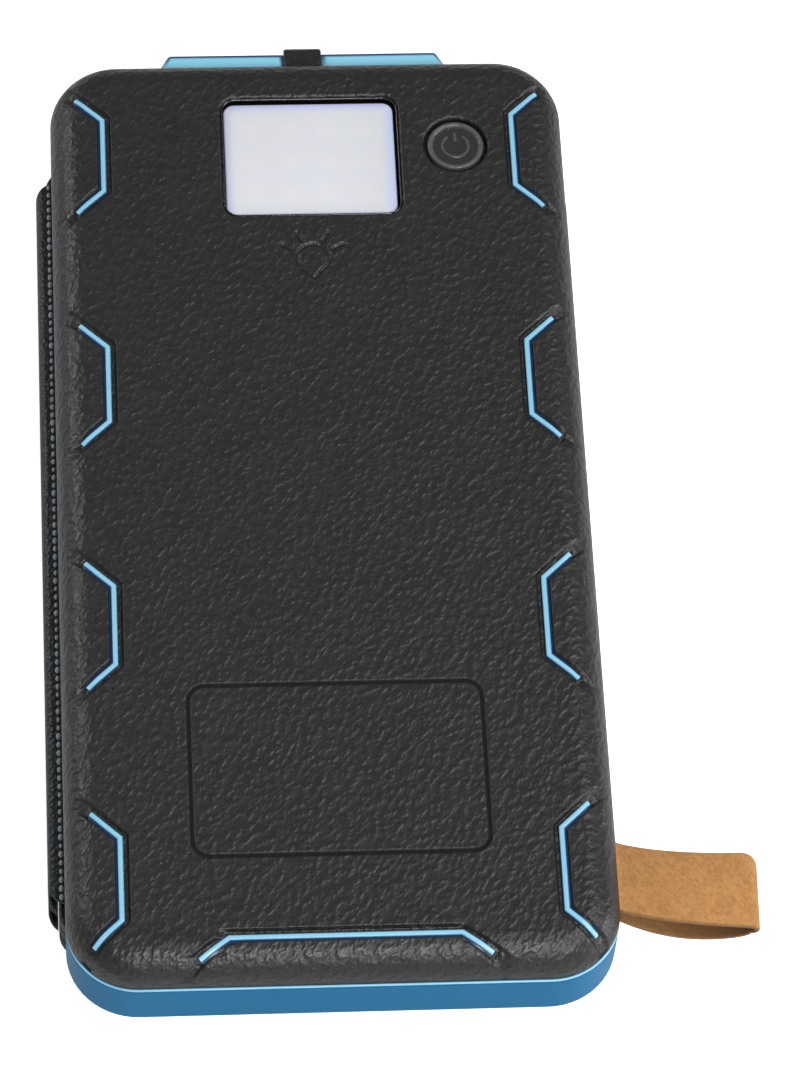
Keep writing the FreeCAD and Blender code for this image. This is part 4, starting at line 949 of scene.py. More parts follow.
@dataclass
class FrontShell:
    """The grained face with its rounded rim, bracket channels, windows, label groove and lamp sign."""

    shop: Workshop
    edge: float = 5.5
    radius: float = 11.0
    end_lip: float = 0.36
    lip_round: float = 0.2
    tongue_inset: float = 2.15
    side: float = 3.2
    under: float = FACE_DEPTH
    runout: float = 3.4
    channel_deep: float = 0.9
    channel_floor: float = 0.8
    channel_wall: float = 0.45
    channel_shift: float = 0.2
    hole_round: float = 0.5
    window_gap: float = 0.45
    window_shift: tuple[float, float] = (0.4, 0.45)
    button_gap: float = 0.6
    label_half: tuple[float, float] = (22.9, 14.9)
    label_y: float = -49.3
    label_radius: float = 3.0
    label_line: float = 0.29
    label_deep: float = 0.42
    sign_y: float = 43.3
    sign_radius: float = 2.6
    sign_line: float = 0.34
    sign_deep: float = 0.34
    bracket_inner: float = 33.5
    bracket_outer: float = 38.0
    bracket_half: float = 6.9
    bracket_end: float = 11.1
    bracket_shift: float = -1.6
    bracket_pitch: float = 43.7
    end_inner: float = 77.4
    end_outer: float = 80.8
    end_half: float = 17.5
    end_end: float = 22.0
    tab_half: float = 3.12
    tab_thick: float = 1.05
    tab_bend: float = 1.1
    tab_proud: float = 0.2
    tab_above: float = 2.25
    tab_hang: float = 5.3
    tab_narrowing: float = 0.38

    def __post_init__(self) -> None:
        """Read the case's size from the frame and lay out the channels."""
        case, shell = NodeBox.of("mid_frame"), NodeBox.of("front_shell")
        self.half_x, self.half_y = case.half[0], case.half[1] - self.end_lip / 2
        self.base, self.top, self.foot = case.high[2], shell.high[2], shell.low[2]
        lens, cap = NodeBox.of("lamp_lens"), NodeBox.of("button_cap")
        self.window_centre = lens.centre[:2] + self.window_shift
        self.window_half = lens.half[:2] - LENS_FLANGE + self.window_gap
        self.window_radius = PANE_RADIUS + self.window_gap
        self.button_centre = cap.centre[:2]
        self.button_hole = cap.half[0] - CAP_FLANGE + self.button_gap
        self.channels = self._channels()

    def _channels(self) -> dict[str, list[Channel]]:
        """The nine channels, grouped as the accent pieces are. A bracket is a straight with two slanted
        arms, and its channel lies a little nearer the middle of the face than its line.

        Returns:
            The channels of each accent node.
        """
        side = [(self.bracket_outer, -self.bracket_end), (self.bracket_inner, -self.bracket_half),
                (self.bracket_inner, self.bracket_half), (self.bracket_outer, self.bracket_end)]
        side, shift = np.array(side, float), np.array([self.channel_shift, 0.0])
        groups: dict[str, list[Channel]] = {"accents_right": [], "accents_left": [], "accent_end": []}
        for step in range(4):
            along = np.array([0, self.bracket_shift + (step - 1.5) * self.bracket_pitch])
            for name, way in (("accents_right", 1), ("accents_left", -1)):
                line = side * (way, 1) + along
                groups[name].append(Channel(line - shift * way, line, -way))
        line = np.array([(-self.end_end, -self.end_outer), (-self.end_half, -self.end_inner),
                         (self.end_half, -self.end_inner), (self.end_end, -self.end_outer)])
        groups["accent_end"].append(Channel(line + shift[::-1], line, -1))
        return groups

    def sign_distance(self, x: np.ndarray, y: np.ndarray) -> np.ndarray:
        """Distance to the lamp sign's lines: a ring open below, two runs to a point, and slanted rays.

        Args:
            x: Places across.
            y: Places along.

        Returns:
            The distances, one for each place.
        """
        up = y - self.sign_y
        far = np.hypot(x, up)
        ring = np.where(up < -0.72 * self.sign_radius, 9.0, np.abs(far - self.sign_radius))
        point = np.array([(-1.75, -1.95), (0, -3.9), (1.75, -1.95)])
        least = np.minimum(ring, path_distance(x, up, point))
        for angle in (28, 62, 118, 152):
            out = np.array([math.cos(math.radians(angle)), math.sin(math.radians(angle))])
            ray = np.array([out * (self.sign_radius + 1.0), out * (self.sign_radius + 2.8)])
            least = np.minimum(least, path_distance(x, up, ray))
        return least

    def window_distance(self, x: np.ndarray, y: np.ndarray) -> np.ndarray:
        """Distance to the lamp window's edge, negative inside it."""
        return outline_distance(x - self.window_centre[0], y - self.window_centre[1], *self.window_half,
                                self.window_radius)

    def button_distance(self, x: np.ndarray, y: np.ndarray) -> np.ndarray:
        """Distance to the button hole's edge, negative inside it."""
        return np.hypot(x - self.button_centre[0], y - self.button_centre[1]) - self.button_hole

    def in_groove(self, x: np.ndarray, y: np.ndarray) -> np.ndarray:
        """The share of its depth that the fine groove round the label has at a place. The same share paints
        the groove near-black and rough, as painted shade.
        """
        label = np.abs(outline_distance(x, y - self.label_y, *self.label_half,
                                        self.label_radius) + self.label_line)
        return 1 - smooth_step(label / self.label_line / 1.6)

    def sunk(self, x: np.ndarray, y: np.ndarray) -> np.ndarray:
        """How far the face lies below its plain rounded form: channels with sloping walls that run out
        past their ends, the fine label groove, the sign's lines, and a rounded edge round each opening.

        Args:
            x: Places across.
            y: Places along.

        Returns:
            The depths, one for each place.
        """
        deep = np.zeros(np.shape(x))
        for channel in (each for group in self.channels.values() for each in group):
            near = path_distance(x, y, channel.path)
            deep = np.maximum(deep, 1 - smooth_step((near - self.channel_floor) / self.channel_wall))
            for end, before in ((0, 1), (3, 2)):
                arm = channel.path[end] - channel.path[before]
                arm = arm / np.hypot(*arm)
                off_x, off_y = x - channel.path[end][0], y - channel.path[end][1]
                past = (off_x * arm[0] + off_y * arm[1]) / self.runout
                aside = np.abs(off_y * arm[0] - off_x * arm[1])
                fade = np.where(past > 0, np.clip(1 - past, 0, 1), 0)
                wide = (aside - self.channel_floor) / self.channel_wall
                deep = np.maximum(deep, fade * (1 - smooth_step(wide)))
        deep = deep * self.channel_deep + self.label_deep * self.in_groove(x, y)
        sign = self.sign_distance(x, y)
        deep = deep + self.sign_deep * (1 - smooth_step((sign - 0.05) / self.sign_line / 1.4))
        for distance in (self.window_distance(x, y), self.button_distance(x, y)):
            left = np.clip(self.hole_round - distance, 0, self.hole_round)
            deep = deep + self.hole_round - np.sqrt(self.hole_round**2 - left**2)
        return deep

    def over_corner(self, x: np.ndarray, y: np.ndarray) -> tuple[np.ndarray, np.ndarray]:
        """How far a place lies past the middle of its nearest corner, across and along. The whole outline
        is drawn back from the frame at the strap end, so its middle lies half that lip further up.

        Args:
            x: Places across.
            y: Places along.

        Returns:
            The two distances, with their signs, one of each for each place.
        """
        over_x = np.maximum(np.abs(x) - (self.half_x - self.radius), 0) * np.sign(x)
        along = y - self.end_lip / 2
        over_y = np.maximum(np.abs(along) - (self.half_y - self.radius), 0) * np.sign(along)
        return over_x, over_y

    def lifted(self, x: np.ndarray, y: np.ndarray, lift: np.ndarray | float) -> np.ndarray:
        """Points over the face. The plain form is flat, and rolls over in a quarter circle within one
        edge radius of the outline; a point stands off it along its own upright.

        Args:
            x: Places across.
            y: Places along.
            lift: Distance off the plain form, negative below it.

        Returns:
            Points, one more axis than x.
        """
        inset = -outline_distance(x, y - self.end_lip / 2, self.half_x, self.half_y, self.radius)
        lean = 1 - np.clip(inset, 0, self.edge) / self.edge
        rise = np.sqrt(1 - lean**2)
        over_x, over_y = self.over_corner(x, y)
        far = np.maximum(np.hypot(over_x, over_y), 1e-9)
        height = self.top - self.edge * (1 - rise)
        return np.stack([x + lift * lean * over_x / far, y + lift * lean * over_y / far,
                         height + lift * rise],
                        axis=-1)

    def surface(self, x: np.ndarray, y: np.ndarray) -> np.ndarray:
        """Points of the finished face."""
        return self.lifted(x, y, -self.sunk(x, y))

    def upright(self, x: np.ndarray, y: np.ndarray) -> np.ndarray:
        """The face's own normals: the cross product of its slopes along x and y, taken over 0.06 mm.

        Args:
            x: Places across.
            y: Places along.

        Returns:
            Unit normals, one for each place.
        """
        step = 0.03
        along = self.surface(x + step, y) - self.surface(x - step, y)
        across = self.surface(x, y + step) - self.surface(x, y - step)
        normal = np.cross(along, across)
        return normal / np.maximum(np.linalg.norm(normal, axis=-1, keepdims=True), 1e-12)

    def _lines(self) -> tuple[np.ndarray, np.ndarray]:
        """The grid's lines across and along, close together where the face has detail.

        Returns:
            The places of the lines across, and of those along.
        """
        rim = self.edge * (1 - np.cos(np.linspace(0, math.pi / 4, 9)))
        wx, wy = self.window_centre
        bx, by = self.button_centre
        hole = self.button_hole + 0.6
        zones_x = [(-12, 12, 1.6), (bx - hole, bx + hole, 0.3), (-5.2, 5.2, 0.22)]
        for side in (-1, 1):
            pairs = [
                (self.bracket_inner - 1.7, self.bracket_inner + 1.5, 0.2),
                (self.bracket_inner + 1.5, self.half_x - rim[-1], 0.3),
                (wx + self.window_half[0] - 2.6, wx + self.window_half[0], 0.25),
                (wx + self.window_half[0], wx + self.window_half[0] + 0.6, 0.2),
                (self.label_half[0] - 3.1, self.label_half[0] + 0.3, 0.2),
            ]
            zones_x += [zone(side * start, side * end, step) for start, end, step in pairs]
        zones_y = [
            (by - hole, by + hole, 0.3), (self.sign_y - 4.6, self.sign_y + 5.4, 0.22),
            (-self.half_y, -self.end_inner - 1.5, 0.3), (-self.end_inner - 1.5, -self.end_inner + 1.7, 0.2),
            (self.half_y - 2 * self.edge, self.half_y, 0.5),
        ]
        middles = [channel.line[:, 1].mean() for channel in self.channels["accents_right"]]
        for side in (-1, 1):
            edge_y, label_edge = wy + side * self.window_half[1], self.label_y + side * self.label_half[1]
            zones_y += [
                zone(edge_y, edge_y - side * 2.6, 0.25), zone(edge_y, edge_y + side * 0.6, 0.2),
                zone(label_edge + side * 0.3, label_edge - side * 3.1, 0.2),
            ]
            near, far = side * (self.bracket_half - 1.5), side * (self.bracket_end + 3.1)
            zones_y += [zone(middle + near, middle + far, 0.3) for middle in middles]
        lines = []
        for half, shift, zones in ((self.half_x, 0.0, zones_x), (self.half_y, self.end_lip / 2, zones_y)):
            inner = grid_lines(shift - half + rim[-1], shift + half - rim[-1], 2.4, zones)
            lines.append(np.concatenate([shift - half + rim[:-1], inner, (shift + half - rim[:-1])[::-1]]))
        return lines[0], lines[1]

    def _bent_to_corners(self, x: np.ndarray, y: np.ndarray) -> tuple[np.ndarray, np.ndarray]:
        """Bend the square corners of the grid into round ones: with a and b from 0 to 1 across a corner
        square, a becomes a * sqrt(1 - b^2 / 2) and b becomes b * sqrt(1 - a^2 / 2).

        Args:
            x: Places across.
            y: Places along.

        Returns:
            The bent places across and along.
        """
        over_x, over_y = self.over_corner(x, y)
        a, b = over_x / self.radius, over_y / self.radius
        bent_x = x + over_x * (np.sqrt(1 - b**2 / 2) - 1)
        return bent_x, y + over_y * (np.sqrt(1 - a**2 / 2) - 1)

    def build(self) -> bpy.types.Object:
        """Build the shell as one closed mesh: the detailed face, walls in its openings, the rim's foot
        with its tongue, and a plain underside.

        Returns:
            The piece that stands for the CAD shell.
        """
        lines_x, lines_y = self._lines()
        x, y = (each.ravel() for each in np.meshgrid(lines_x, lines_y))
        x, y = self._bent_to_corners(x, y)
        quads = grid_quads(len(lines_y), len(lines_x))
        kept = np.ones(len(quads), bool)
        middle_x, middle_y = x[quads].mean(axis=1), y[quads].mean(axis=1)
        for distance in (self.window_distance, self.button_distance):
            gone = distance(middle_x, middle_y) < 0
            rim = np.intersect1d(quads[gone], quads[~gone])
            for _ in range(3):
                step, off = 1e-3, distance(x[rim], y[rim])
                slope_x = (distance(x[rim] + step, y[rim]) - distance(x[rim] - step, y[rim])) / (2 * step)
                slope_y = (distance(x[rim], y[rim] + step) - distance(x[rim], y[rim] - step)) / (2 * step)
                x[rim] -= off * slope_x
                y[rim] -= off * slope_y
            kept &= ~gone
        quads = quads[kept]
        points, normals = self.surface(x, y), self.upright(x, y)
        edges = np.concatenate([quads[:, [side, (side + 1) % 4]] for side in range(4)])
        key = np.sort(edges, axis=1) @ np.array([len(x), 1])
        _, first, uses = np.unique(key, return_index=True, return_counts=True)
        border = edges[first[uses == 1]]
        centre = (x[border].mean(axis=1), y[border].mean(axis=1))
        in_window = np.abs(self.window_distance(*centre)) < 0.4
        in_button = np.abs(self.button_distance(*centre)) < 0.4
        all_points, all_quads = [points], [quads]
        # Painted shade: six times the groove's share marks where the face is painted near-black in the label
        # groove.
        shares = [np.clip(6 * self.in_groove(x, y), 0, 1)]
        loop_normals = [normals[quads].reshape(-1, 3)]
        total = len(points)
        under_z = self.top - self.under
        foot = [(0.0, self.base), (self.tongue_inset, self.base), (self.tongue_inset, self.foot),
                (self.side, self.foot), (self.side, under_z - 2.2), (self.side + 0.7, under_z - 0.6),
                (self.side + 2.2, under_z)]
        closing_loops = []
        for chosen, rings in ((~(in_window | in_button), foot), (in_window, [(0.0, under_z)]),
                              (in_button, [(0.0, under_z)])):
            ring_edges = border[chosen]
            members, local = np.unique(ring_edges, return_inverse=True)
            local = local.reshape(-1, 2)
            px, py = x[members], y[members]
            previous = members
            previous_inset, previous_z = 0.0, None
            for inset, height in rings:
                if len(rings) == 1:
                    ring = at_height(np.column_stack([px, py]), height)
                    middle = np.array([px.mean(), py.mean()])
                    side = middle - np.column_stack([px, py])
                    side /= np.linalg.norm(side, axis=1, keepdims=True)
                    lean = np.column_stack([side, np.zeros(len(px))])
                else:
                    over = np.column_stack(self.over_corner(px, py))
                    middle = np.column_stack([px, py]) - over
                    over /= np.linalg.norm(over, axis=1, keepdims=True)
                    ring = at_height(middle + over * (self.radius - inset), height)
                    drop = (previous_z if previous_z is not None else height + 1) - height
                    run = inset - previous_inset
                    length = math.hypot(run, drop)
                    lean = np.column_stack([over * drop / length, np.full(len(px), -run / length)])
                numbers = total + np.arange(len(members))
                total += len(members)
                start, end = local[:, 0], local[:, 1]
                wall = np.column_stack([previous[end], previous[start], numbers[start], numbers[end]])
                all_points.append(ring)
                all_quads.append(wall)
                shares.append(np.zeros(len(ring)))
                loop_normals.append(lean[np.column_stack([end, start, start, end])].reshape(-1, 3))
                previous, previous_inset, previous_z = numbers, inset, height
            loop_x, loop_y = all_points[-1][:, 0], all_points[-1][:, 1]
            order = np.argsort(np.arctan2(loop_y - loop_y.mean(), loop_x - loop_x.mean()))
            closing_loops.append(previous[order])
        points = np.concatenate(all_points)
        loops = [[Vector(points[index]) for index in loop] for loop in closing_loops]
        flat = np.concatenate(closing_loops)
        triangles = flat[np.array(tessellate_polygon(loops))]
        corner = points[triangles]
        facing = np.cross(corner[:, 1] - corner[:, 0], corner[:, 2] - corner[:, 0])[:, 2]
        triangles[facing > 0] = triangles[facing > 0][:, ::-1]
        mesh = bpy.data.meshes.new("front_shell_face")
        faces = np.concatenate(all_quads).tolist() + triangles.tolist()
        mesh.from_pydata((points * MM).tolist(), [], faces)
        mesh.update()
        mesh.shade_smooth()
        loop_normals.append(np.tile([0.0, 0.0, -1.0], (3 * len(triangles), 1)))
        mesh.normals_split_custom_set(np.concatenate(loop_normals).tolist())
        self.shop.mark(mesh, "in_groove", np.concatenate(shares))
        made = self.shop.piece("front_shell_face", mesh, "grained_plastic", "bank", ("front_shell",), sharp=0)
        self._tab()
        self._lip()
        return made

    def _lip(self) -> None:
        """The frame's moulded bead where the shell is drawn back from it: its rounding catches the light, and
        its paler accent blue is a painted highlight, so that it shows as a bright line.
        """
        case = NodeBox.of("mid_frame")
        turn = np.linspace(0, 2 * math.pi, 10, endpoint=False)
        profile = np.column_stack([self.lip_round * (1.05 - np.cos(turn)),
                                   self.base + self.lip_round * np.sin(turn)])
        bead = carried(inset_stack(case, self.radius, profile, 16), ring=True)
        self.shop.piece("frame_lip", bead.mesh("frame_lip", face_out=True), "accent_plastic", "bank",
                        sharp=80)

    def _tab(self) -> None:
        """The port tab: a rounded strip of the shell that reaches out over the port cover and turns
        down in front of it. A rounded rectangle is carried along a path with one round bend. It narrows
        late in the bend, so that the flaps can swing out past its lower part."""
        thick, bend = self.tab_thick, self.tab_bend
        reach = NodeBox.of("front_shell").high[1] + self.tab_proud
        top = NodeBox.of("port_flap_left").high[2] + self.tab_above
        turn = np.linspace(0, math.pi / 2, 8)
        mid_y, mid_z = reach - thick / 2, top - thick / 2
        path_y = np.concatenate([[self.half_y - 2.4], mid_y - bend + bend * np.sin(turn), [mid_y]])
        path_z = np.concatenate([[mid_z], mid_z - bend + bend * np.cos(turn), [top - self.tab_hang]])
        tangent = np.stack([np.gradient(path_y), np.gradient(path_z)], axis=-1)
        tangent /= np.linalg.norm(tangent, axis=1, keepdims=True)
        section = outline(self.tab_half, thick / 2, 0.3, np.array([-0.02, 0.0]), 5)
        bent_by = np.concatenate([[0], turn, [math.pi / 2]])
        width = 1 - self.tab_narrowing * smooth_step((bent_by - 0.8) / 0.45)
        x = width[:, None] * section[None, :, 0]
        off = section[None, :, 1]
        y = path_y[:, None] - off * tangent[:, 1:2]
        z = path_z[:, None] + off * tangent[:, 0:1]
        tab = carried(np.stack([x, y, z], axis=-1)[:, ::-1], start_cap=True, end_cap=True)
        self.shop.piece("port_tab", tab.mesh("port_tab"), "grained_plastic", "bank")


@dataclass
class PortCover:
    """The rubber cover of the ports: an anchored middle and two flaps with slanted outer ends."""

    shop: Workshop
    proud: float = 0.3
    raised: float = 1.15
    short: float = 0.6
    edge: float = 0.55
    band: float = 0.4
    corner: float = 0.2
    slant: float = 2.0
    stem_half: float = 2.0
    wall_gap: float = 0.2
    fade: float = 0.1

    def build(self) -> None:
        """Build each part as a plan outline carried upwards between rounded edges."""
        for side, name in ((-1, "port_flap_left"), (1, "port_flap_right")):
            box = NodeBox.of(name)
            inner, outer = np.sort(np.abs([box.low[0], box.high[0]])) - (0, self.short)
            self._part(name, name, [(inner, 0), (outer, 0), (outer - self.slant, 1), (inner, 1)], side)
        stem = [(-self.stem_half, 0), (self.stem_half, 0), (self.stem_half, 1), (-self.stem_half, 1)]
        self._part("port_cover_anchor", "bank", stem, 1)

    def _part(self, node: str, body: str, corners: list[tuple[float, int]], side: int) -> None:
        """Build one part: its plan's corners rounded by curves of the second degree, carried upwards
        between rounded edges, with a dark navy mark of painted shade along the outer top edge.

        Args:
            node: The CAD node that it stands for.
            body: The body it rides on.
            corners: Plan corners on the right-hand side, as a place along the end wall, and 0 at the
                wall or 1 outside.
            side: 1 for the right-hand side, -1 for a mirrored part.
        """
        box, case, cover = NodeBox.of(node), NodeBox.of("mid_frame"), NodeBox.of("port_flap_left")
        wall = case.high[1] + self.wall_gap
        plan = np.array([(x, wall if far == 0 else box.high[1] + self.proud) for x, far in corners])
        high = cover.high[2] + self.raised
        rounded = edge_profile(cover.low[2], high, self.edge, self.edge)
        half_way = len(rounded) // 2
        rows = [*rounded[:half_way], (0.0, high - self.edge - 1.2 * self.fade), *rounded[half_way:],
                (self.edge + self.band, high)]
        sections = []
        for inset, height in rows:
            ring = []
            for before, corner, after in zip(np.roll(plan, 1, axis=0), plan, np.roll(plan, -1, axis=0)):
                back, ahead = before - corner, after - corner
                back, ahead = back / np.hypot(*back), ahead / np.hypot(*ahead)
                held = corner + (back + ahead) * inset
                corner_edge = self.edge if abs(corner[0]) > self.stem_half + 3 else self.corner
                reach = max(corner_edge - inset, 0.05)
                for share in np.linspace(0, 1, 5):
                    both = back * (1 - share)**2 + ahead * share**2
                    ring.append(held + both * reach)
            ring = np.array(ring) * (side, 1)
            sections.append(at_height(ring if side > 0 else ring[::-1], height))
        part = carried(np.array(sections), start_cap=True, end_cap=True)
        mesh = part.mesh(f"{node}_rubber", face_out=True)
        # Painted shade: the mark rises towards the outer top edge, where the rubber is painted dark navy.
        outside = (part.points[:, 1] - (box.high[1] + self.proud - self.edge)) / self.band + 0.9
        near_top = (part.points[:, 2] - (high - self.edge - self.fade)) / self.fade
        self.shop.mark(mesh, "outer_edge_painted_shade", smooth_step(outside) * smooth_step(near_top))
        self.shop.piece(f"{node}_rubber", mesh, "blue_rubber", body, (node,))


@dataclass
class Accents:
    """The bright lines that lie in the channels: a low dome carried along each bracket's path, at a
    fixed depth under the plain form of the face."""

    shop: Workshop
    shell: FrontShell
    half: float = 0.46
    foot: float = 0.9
    sink: float = 0.3
    steps: int = 14

    def _line(self, channel: Channel) -> Surface:
        """One bright line along a path of straight runs with mitred corners. On its pad side a low foot
        reaches to the channel's wall.

        Args:
            channel: The channel that it lies in.

        Returns:
            The closed line.
        """
        line = channel.line
        shares = np.linspace(0, 1, self.steps, endpoint=False)
        runs = [start + shares[:, None] * (end - start) for start, end in zip(line[:-1], line[1:])]
        path = np.concatenate(runs + [line[-1:]])
        run = np.diff(line, axis=0)
        side = np.column_stack([-run[:, 1], run[:, 0]]) / np.linalg.norm(run, axis=1, keepdims=True)
        sides = np.repeat(side, self.steps, axis=0)
        sides = np.concatenate([sides, side[-1:]])
        for corner in (1, 2):
            both = side[corner - 1] + side[corner]
            sides[corner * self.steps] = both / (both @ side[corner])
        across = [self.half, self.half, 0.78 * self.half, 0.5 * self.half, -0.5 * self.half,
                  -0.78 * self.half,
                  -self.half, -1.1 * self.half, -self.foot, -self.foot]
        across = np.array(across) * -channel.pad
        lift = -self.sink + np.array([-0.75, -0.22, -0.07, 0, 0, -0.07, -0.22, -0.34, -0.36, -0.75])
        x = path[:, 0:1] + across * sides[:, 0:1]
        y = path[:, 1:2] + across * sides[:, 1:2]
        points = self.shell.lifted(x, y, np.broadcast_to(lift, x.shape))
        return carried(points, start_cap=True, end_cap=True)

    def build(self) -> None:
        """Build the three groups of lines."""
        for node, channels in self.shell.channels.items():
            first, *others = [self._line(channel) for channel in channels]
            whole = sum(others, first)
            mesh = whole.mesh(f"{node}_lines", face_out=True)
            # Painted shade: 1 on the line's sides and foot, which are painted navy as shade in the channel, 0
            # on its domed top.
            deep = np.tile([1, 0.85, 0.3, 0, 0, 0.3, 0.85, 1, 1, 1], len(mesh.vertices) // 10)
            self.shop.mark(mesh, "deep_painted_shade", deep)
            self.shop.piece(f"{node}_lines", mesh, "accent_plastic", "bank", (node,))


@dataclass
class Lamp:
    """The frosted lens in its window, a near-black lining of the window's walls that is painted shade, and a
    glossy bezel.
    """

    shop: Workshop
    shell: FrontShell
    flange: float = LENS_FLANGE
    flange_thick: float = 0.8
    radius: float = PANE_RADIUS
    edge: float = 0.35
    gap: float = 0.62
    pane_shift: tuple[float, float] = (-0.12, 0.1)
    lowered: float = 0.3
    lining: float = 0.14
    bezel: float = 0.34

    def build(self) -> None:
        """Build the lens: a flange under the face and a raised pane with a rounded edge, as one stack of
        outlines closed below and above."""
        box = NodeBox.of("lamp_lens")
        ledge, pane_top = box.low[2] + self.flange_thick, box.high[2] - self.lowered
        foot = outline(box.half[0], box.half[1], self.flange + self.radius, box.centre, 12)
        sections = [at_height(foot, height) for height in (box.low[2], ledge)]
        sections += [self._ring(self.gap + inset, height, self.pane_shift)
                     for inset, height in edge_profile(ledge, pane_top, 0.0, self.edge)[4:]]
        lens = carried(np.array(sections), start_cap=True, end_cap=True)
        self.shop.piece("lamp_lens_pane", lens.mesh("lamp_lens_pane"), "frosted_lens", "bank", ("lamp_lens",))
        rim = self.shell.top - self.shell.hole_round
        # Painted shade: a near-black lining over the window's walls, so that the recess round the lens reads
        # black.
        profile = [(0.02, ledge + 0.02), (0.02, rim), (self.lining, rim), (self.lining, pane_top - 0.3),
                   (self.gap + 0.3, pane_top - 0.36), (self.gap + 0.3, ledge + 0.02)]
        shade_lining = carried(np.array([self._ring(inset, height) for inset, height in profile]), ring=True)
        self.shop.piece("lamp_window_shade_lining", shade_lining.mesh("lamp_window_shade_lining", face_out=True), "seal_rubber", "bank",
                        finish="painted_shade_black")
        turn = np.linspace(0, 2 * math.pi, 10, endpoint=False)
        lip = [self._ring(self.bezel / 2 * (1 - math.cos(angle)), rim + self.bezel / 2 * math.sin(angle))
               for angle in turn]
        bezel = carried(np.array(lip), ring=True)
        self.shop.piece("lamp_bezel", bezel.mesh("lamp_bezel", face_out=True), "seal_rubber", "bank",
                        finish="glossy_bezel", sharp=80)

    def _ring(self, inset: float, height: float, shift: tuple[float, float] = (0.0, 0.0)) -> np.ndarray:
        """The window's outline drawn in by an inset and moved by a shift, at one height.

        Args:
            inset: Distance inside the window's outline.
            height: Its height.
            shift: Its move across and along.

        Returns:
            The ring of points.
        """
        half_x, half_y = self.shell.window_half - inset
        ring = outline(half_x, half_y, self.shell.window_radius - inset, self.shell.window_centre + shift, 12)
        return at_height(ring, height)


@dataclass
class PowerButton:
    """The button cap with its raised ring, shallow dish and power sign."""

    shop: Workshop
    rim: float = 0.8
    rim_high: float = 0.3
    dish: float = 0.42
    flange: float = CAP_FLANGE
    flange_thick: float = 0.8
    stem: float = 1.5
    sign_radius: float = 2.15
    sign_line: float = 0.26
    sign_height: float = 0.22

    def build(self) -> None:
        """Build the cap as a turned profile, and the sign as a ring open at the top with an upright bar."""
        box = NodeBox.of("button_cap")
        radius = box.half[0] - self.flange
        top = box.high[2]
        seat = NodeBox.of("front_shell").high[2] - FACE_DEPTH - 0.2
        turn = np.linspace(0, math.pi, 9)
        ring = np.column_stack([
            radius - self.rim / 2 + self.rim / 2 * np.cos(turn), top - self.rim_high * (1 - np.sin(turn)),
        ])
        bowl = np.linspace(radius - self.rim - 0.15, 0, 7)
        floor = top - self.dish
        bowl_z = floor + 0.12 * (bowl / radius)**2
        profile = np.concatenate([
            [(0, box.low[2]), (self.stem, box.low[2]), (self.stem, seat - self.flange_thick),
             (box.half[0], seat - self.flange_thick), (box.half[0], seat), (radius, seat)],
            ring, np.column_stack([bowl, bowl_z]),
        ])
        mesh = turned(profile, box.centre).mesh("button_cap_body")
        # Painted highlight: the ring's points are marked 1, where the cap is painted a paler grey.
        on_rim = np.zeros(len(profile))
        on_rim[6:6 + len(ring)] = 1
        self.shop.mark(mesh, "rim_painted_highlight", np.repeat(on_rim, len(mesh.vertices) // len(profile)))
        self.shop.piece("button_cap_body", mesh, "button_plastic", "power_button", ("button_cap",), sharp=50)
        sign = self._arc(box.centre, floor + 0.04) + self._bar(box.centre, floor + 0.04)
        self.shop.piece("power_sign", sign.mesh("power_sign"), "button_plastic", "power_button",
                        finish="sign_plastic")

    def _section(self) -> np.ndarray:
        """The sign's low domed section, as (across, up) points, counter-clockwise.

        Returns:
            The section of points.
        """
        across = np.array([-1, 1, 1, 0.6, -0.6, -1]) * self.sign_line
        up = np.array([0, 0, 0.6, 1, 1, 0.6]) * self.sign_height
        return np.column_stack([across, up])

    def _arc(self, centre: np.ndarray, floor: float) -> Surface:
        """The ring of the sign, open towards +Y by 70 degrees: its section turned about the cap's axis.

        Args:
            centre: The cap's middle.
            floor: Height of the dish's floor.

        Returns:
            The closed ring.
        """
        section = self._section()
        angle = np.radians(np.linspace(90 + 35, 450 - 35, 49))[:, None]
        radius = self.sign_radius + section[None, :, 0]
        x, y = centre[0] + radius * np.cos(angle), centre[1] + radius * np.sin(angle)
        z = floor + np.repeat(section[None, :, 1], len(angle), axis=0)
        return carried(np.stack([x, y, z], axis=-1), start_cap=True, end_cap=True).flipped()

    def _bar(self, centre: np.ndarray, floor: float) -> Surface:
        """The upright bar of the sign: its section carried along +Y.

        Args:
            centre: The cap's middle.
            floor: Height of the dish's floor.

        Returns:
            The closed bar.
        """
        section = self._section()
        along = centre[1] + np.array([0.7, 0.9, 2.3, 2.5])[:, None]
        x = centre[0] + np.repeat(section[None, :, 0], 4, axis=0)
        y = np.repeat(along, len(section), axis=1)
        z = floor + np.repeat(section[None, :, 1], 4, axis=0)
        return carried(np.stack([x, y, z], axis=-1), start_cap=True, end_cap=True).flipped()


# ---------------------------------------------------------------- stitched leaves and hinges

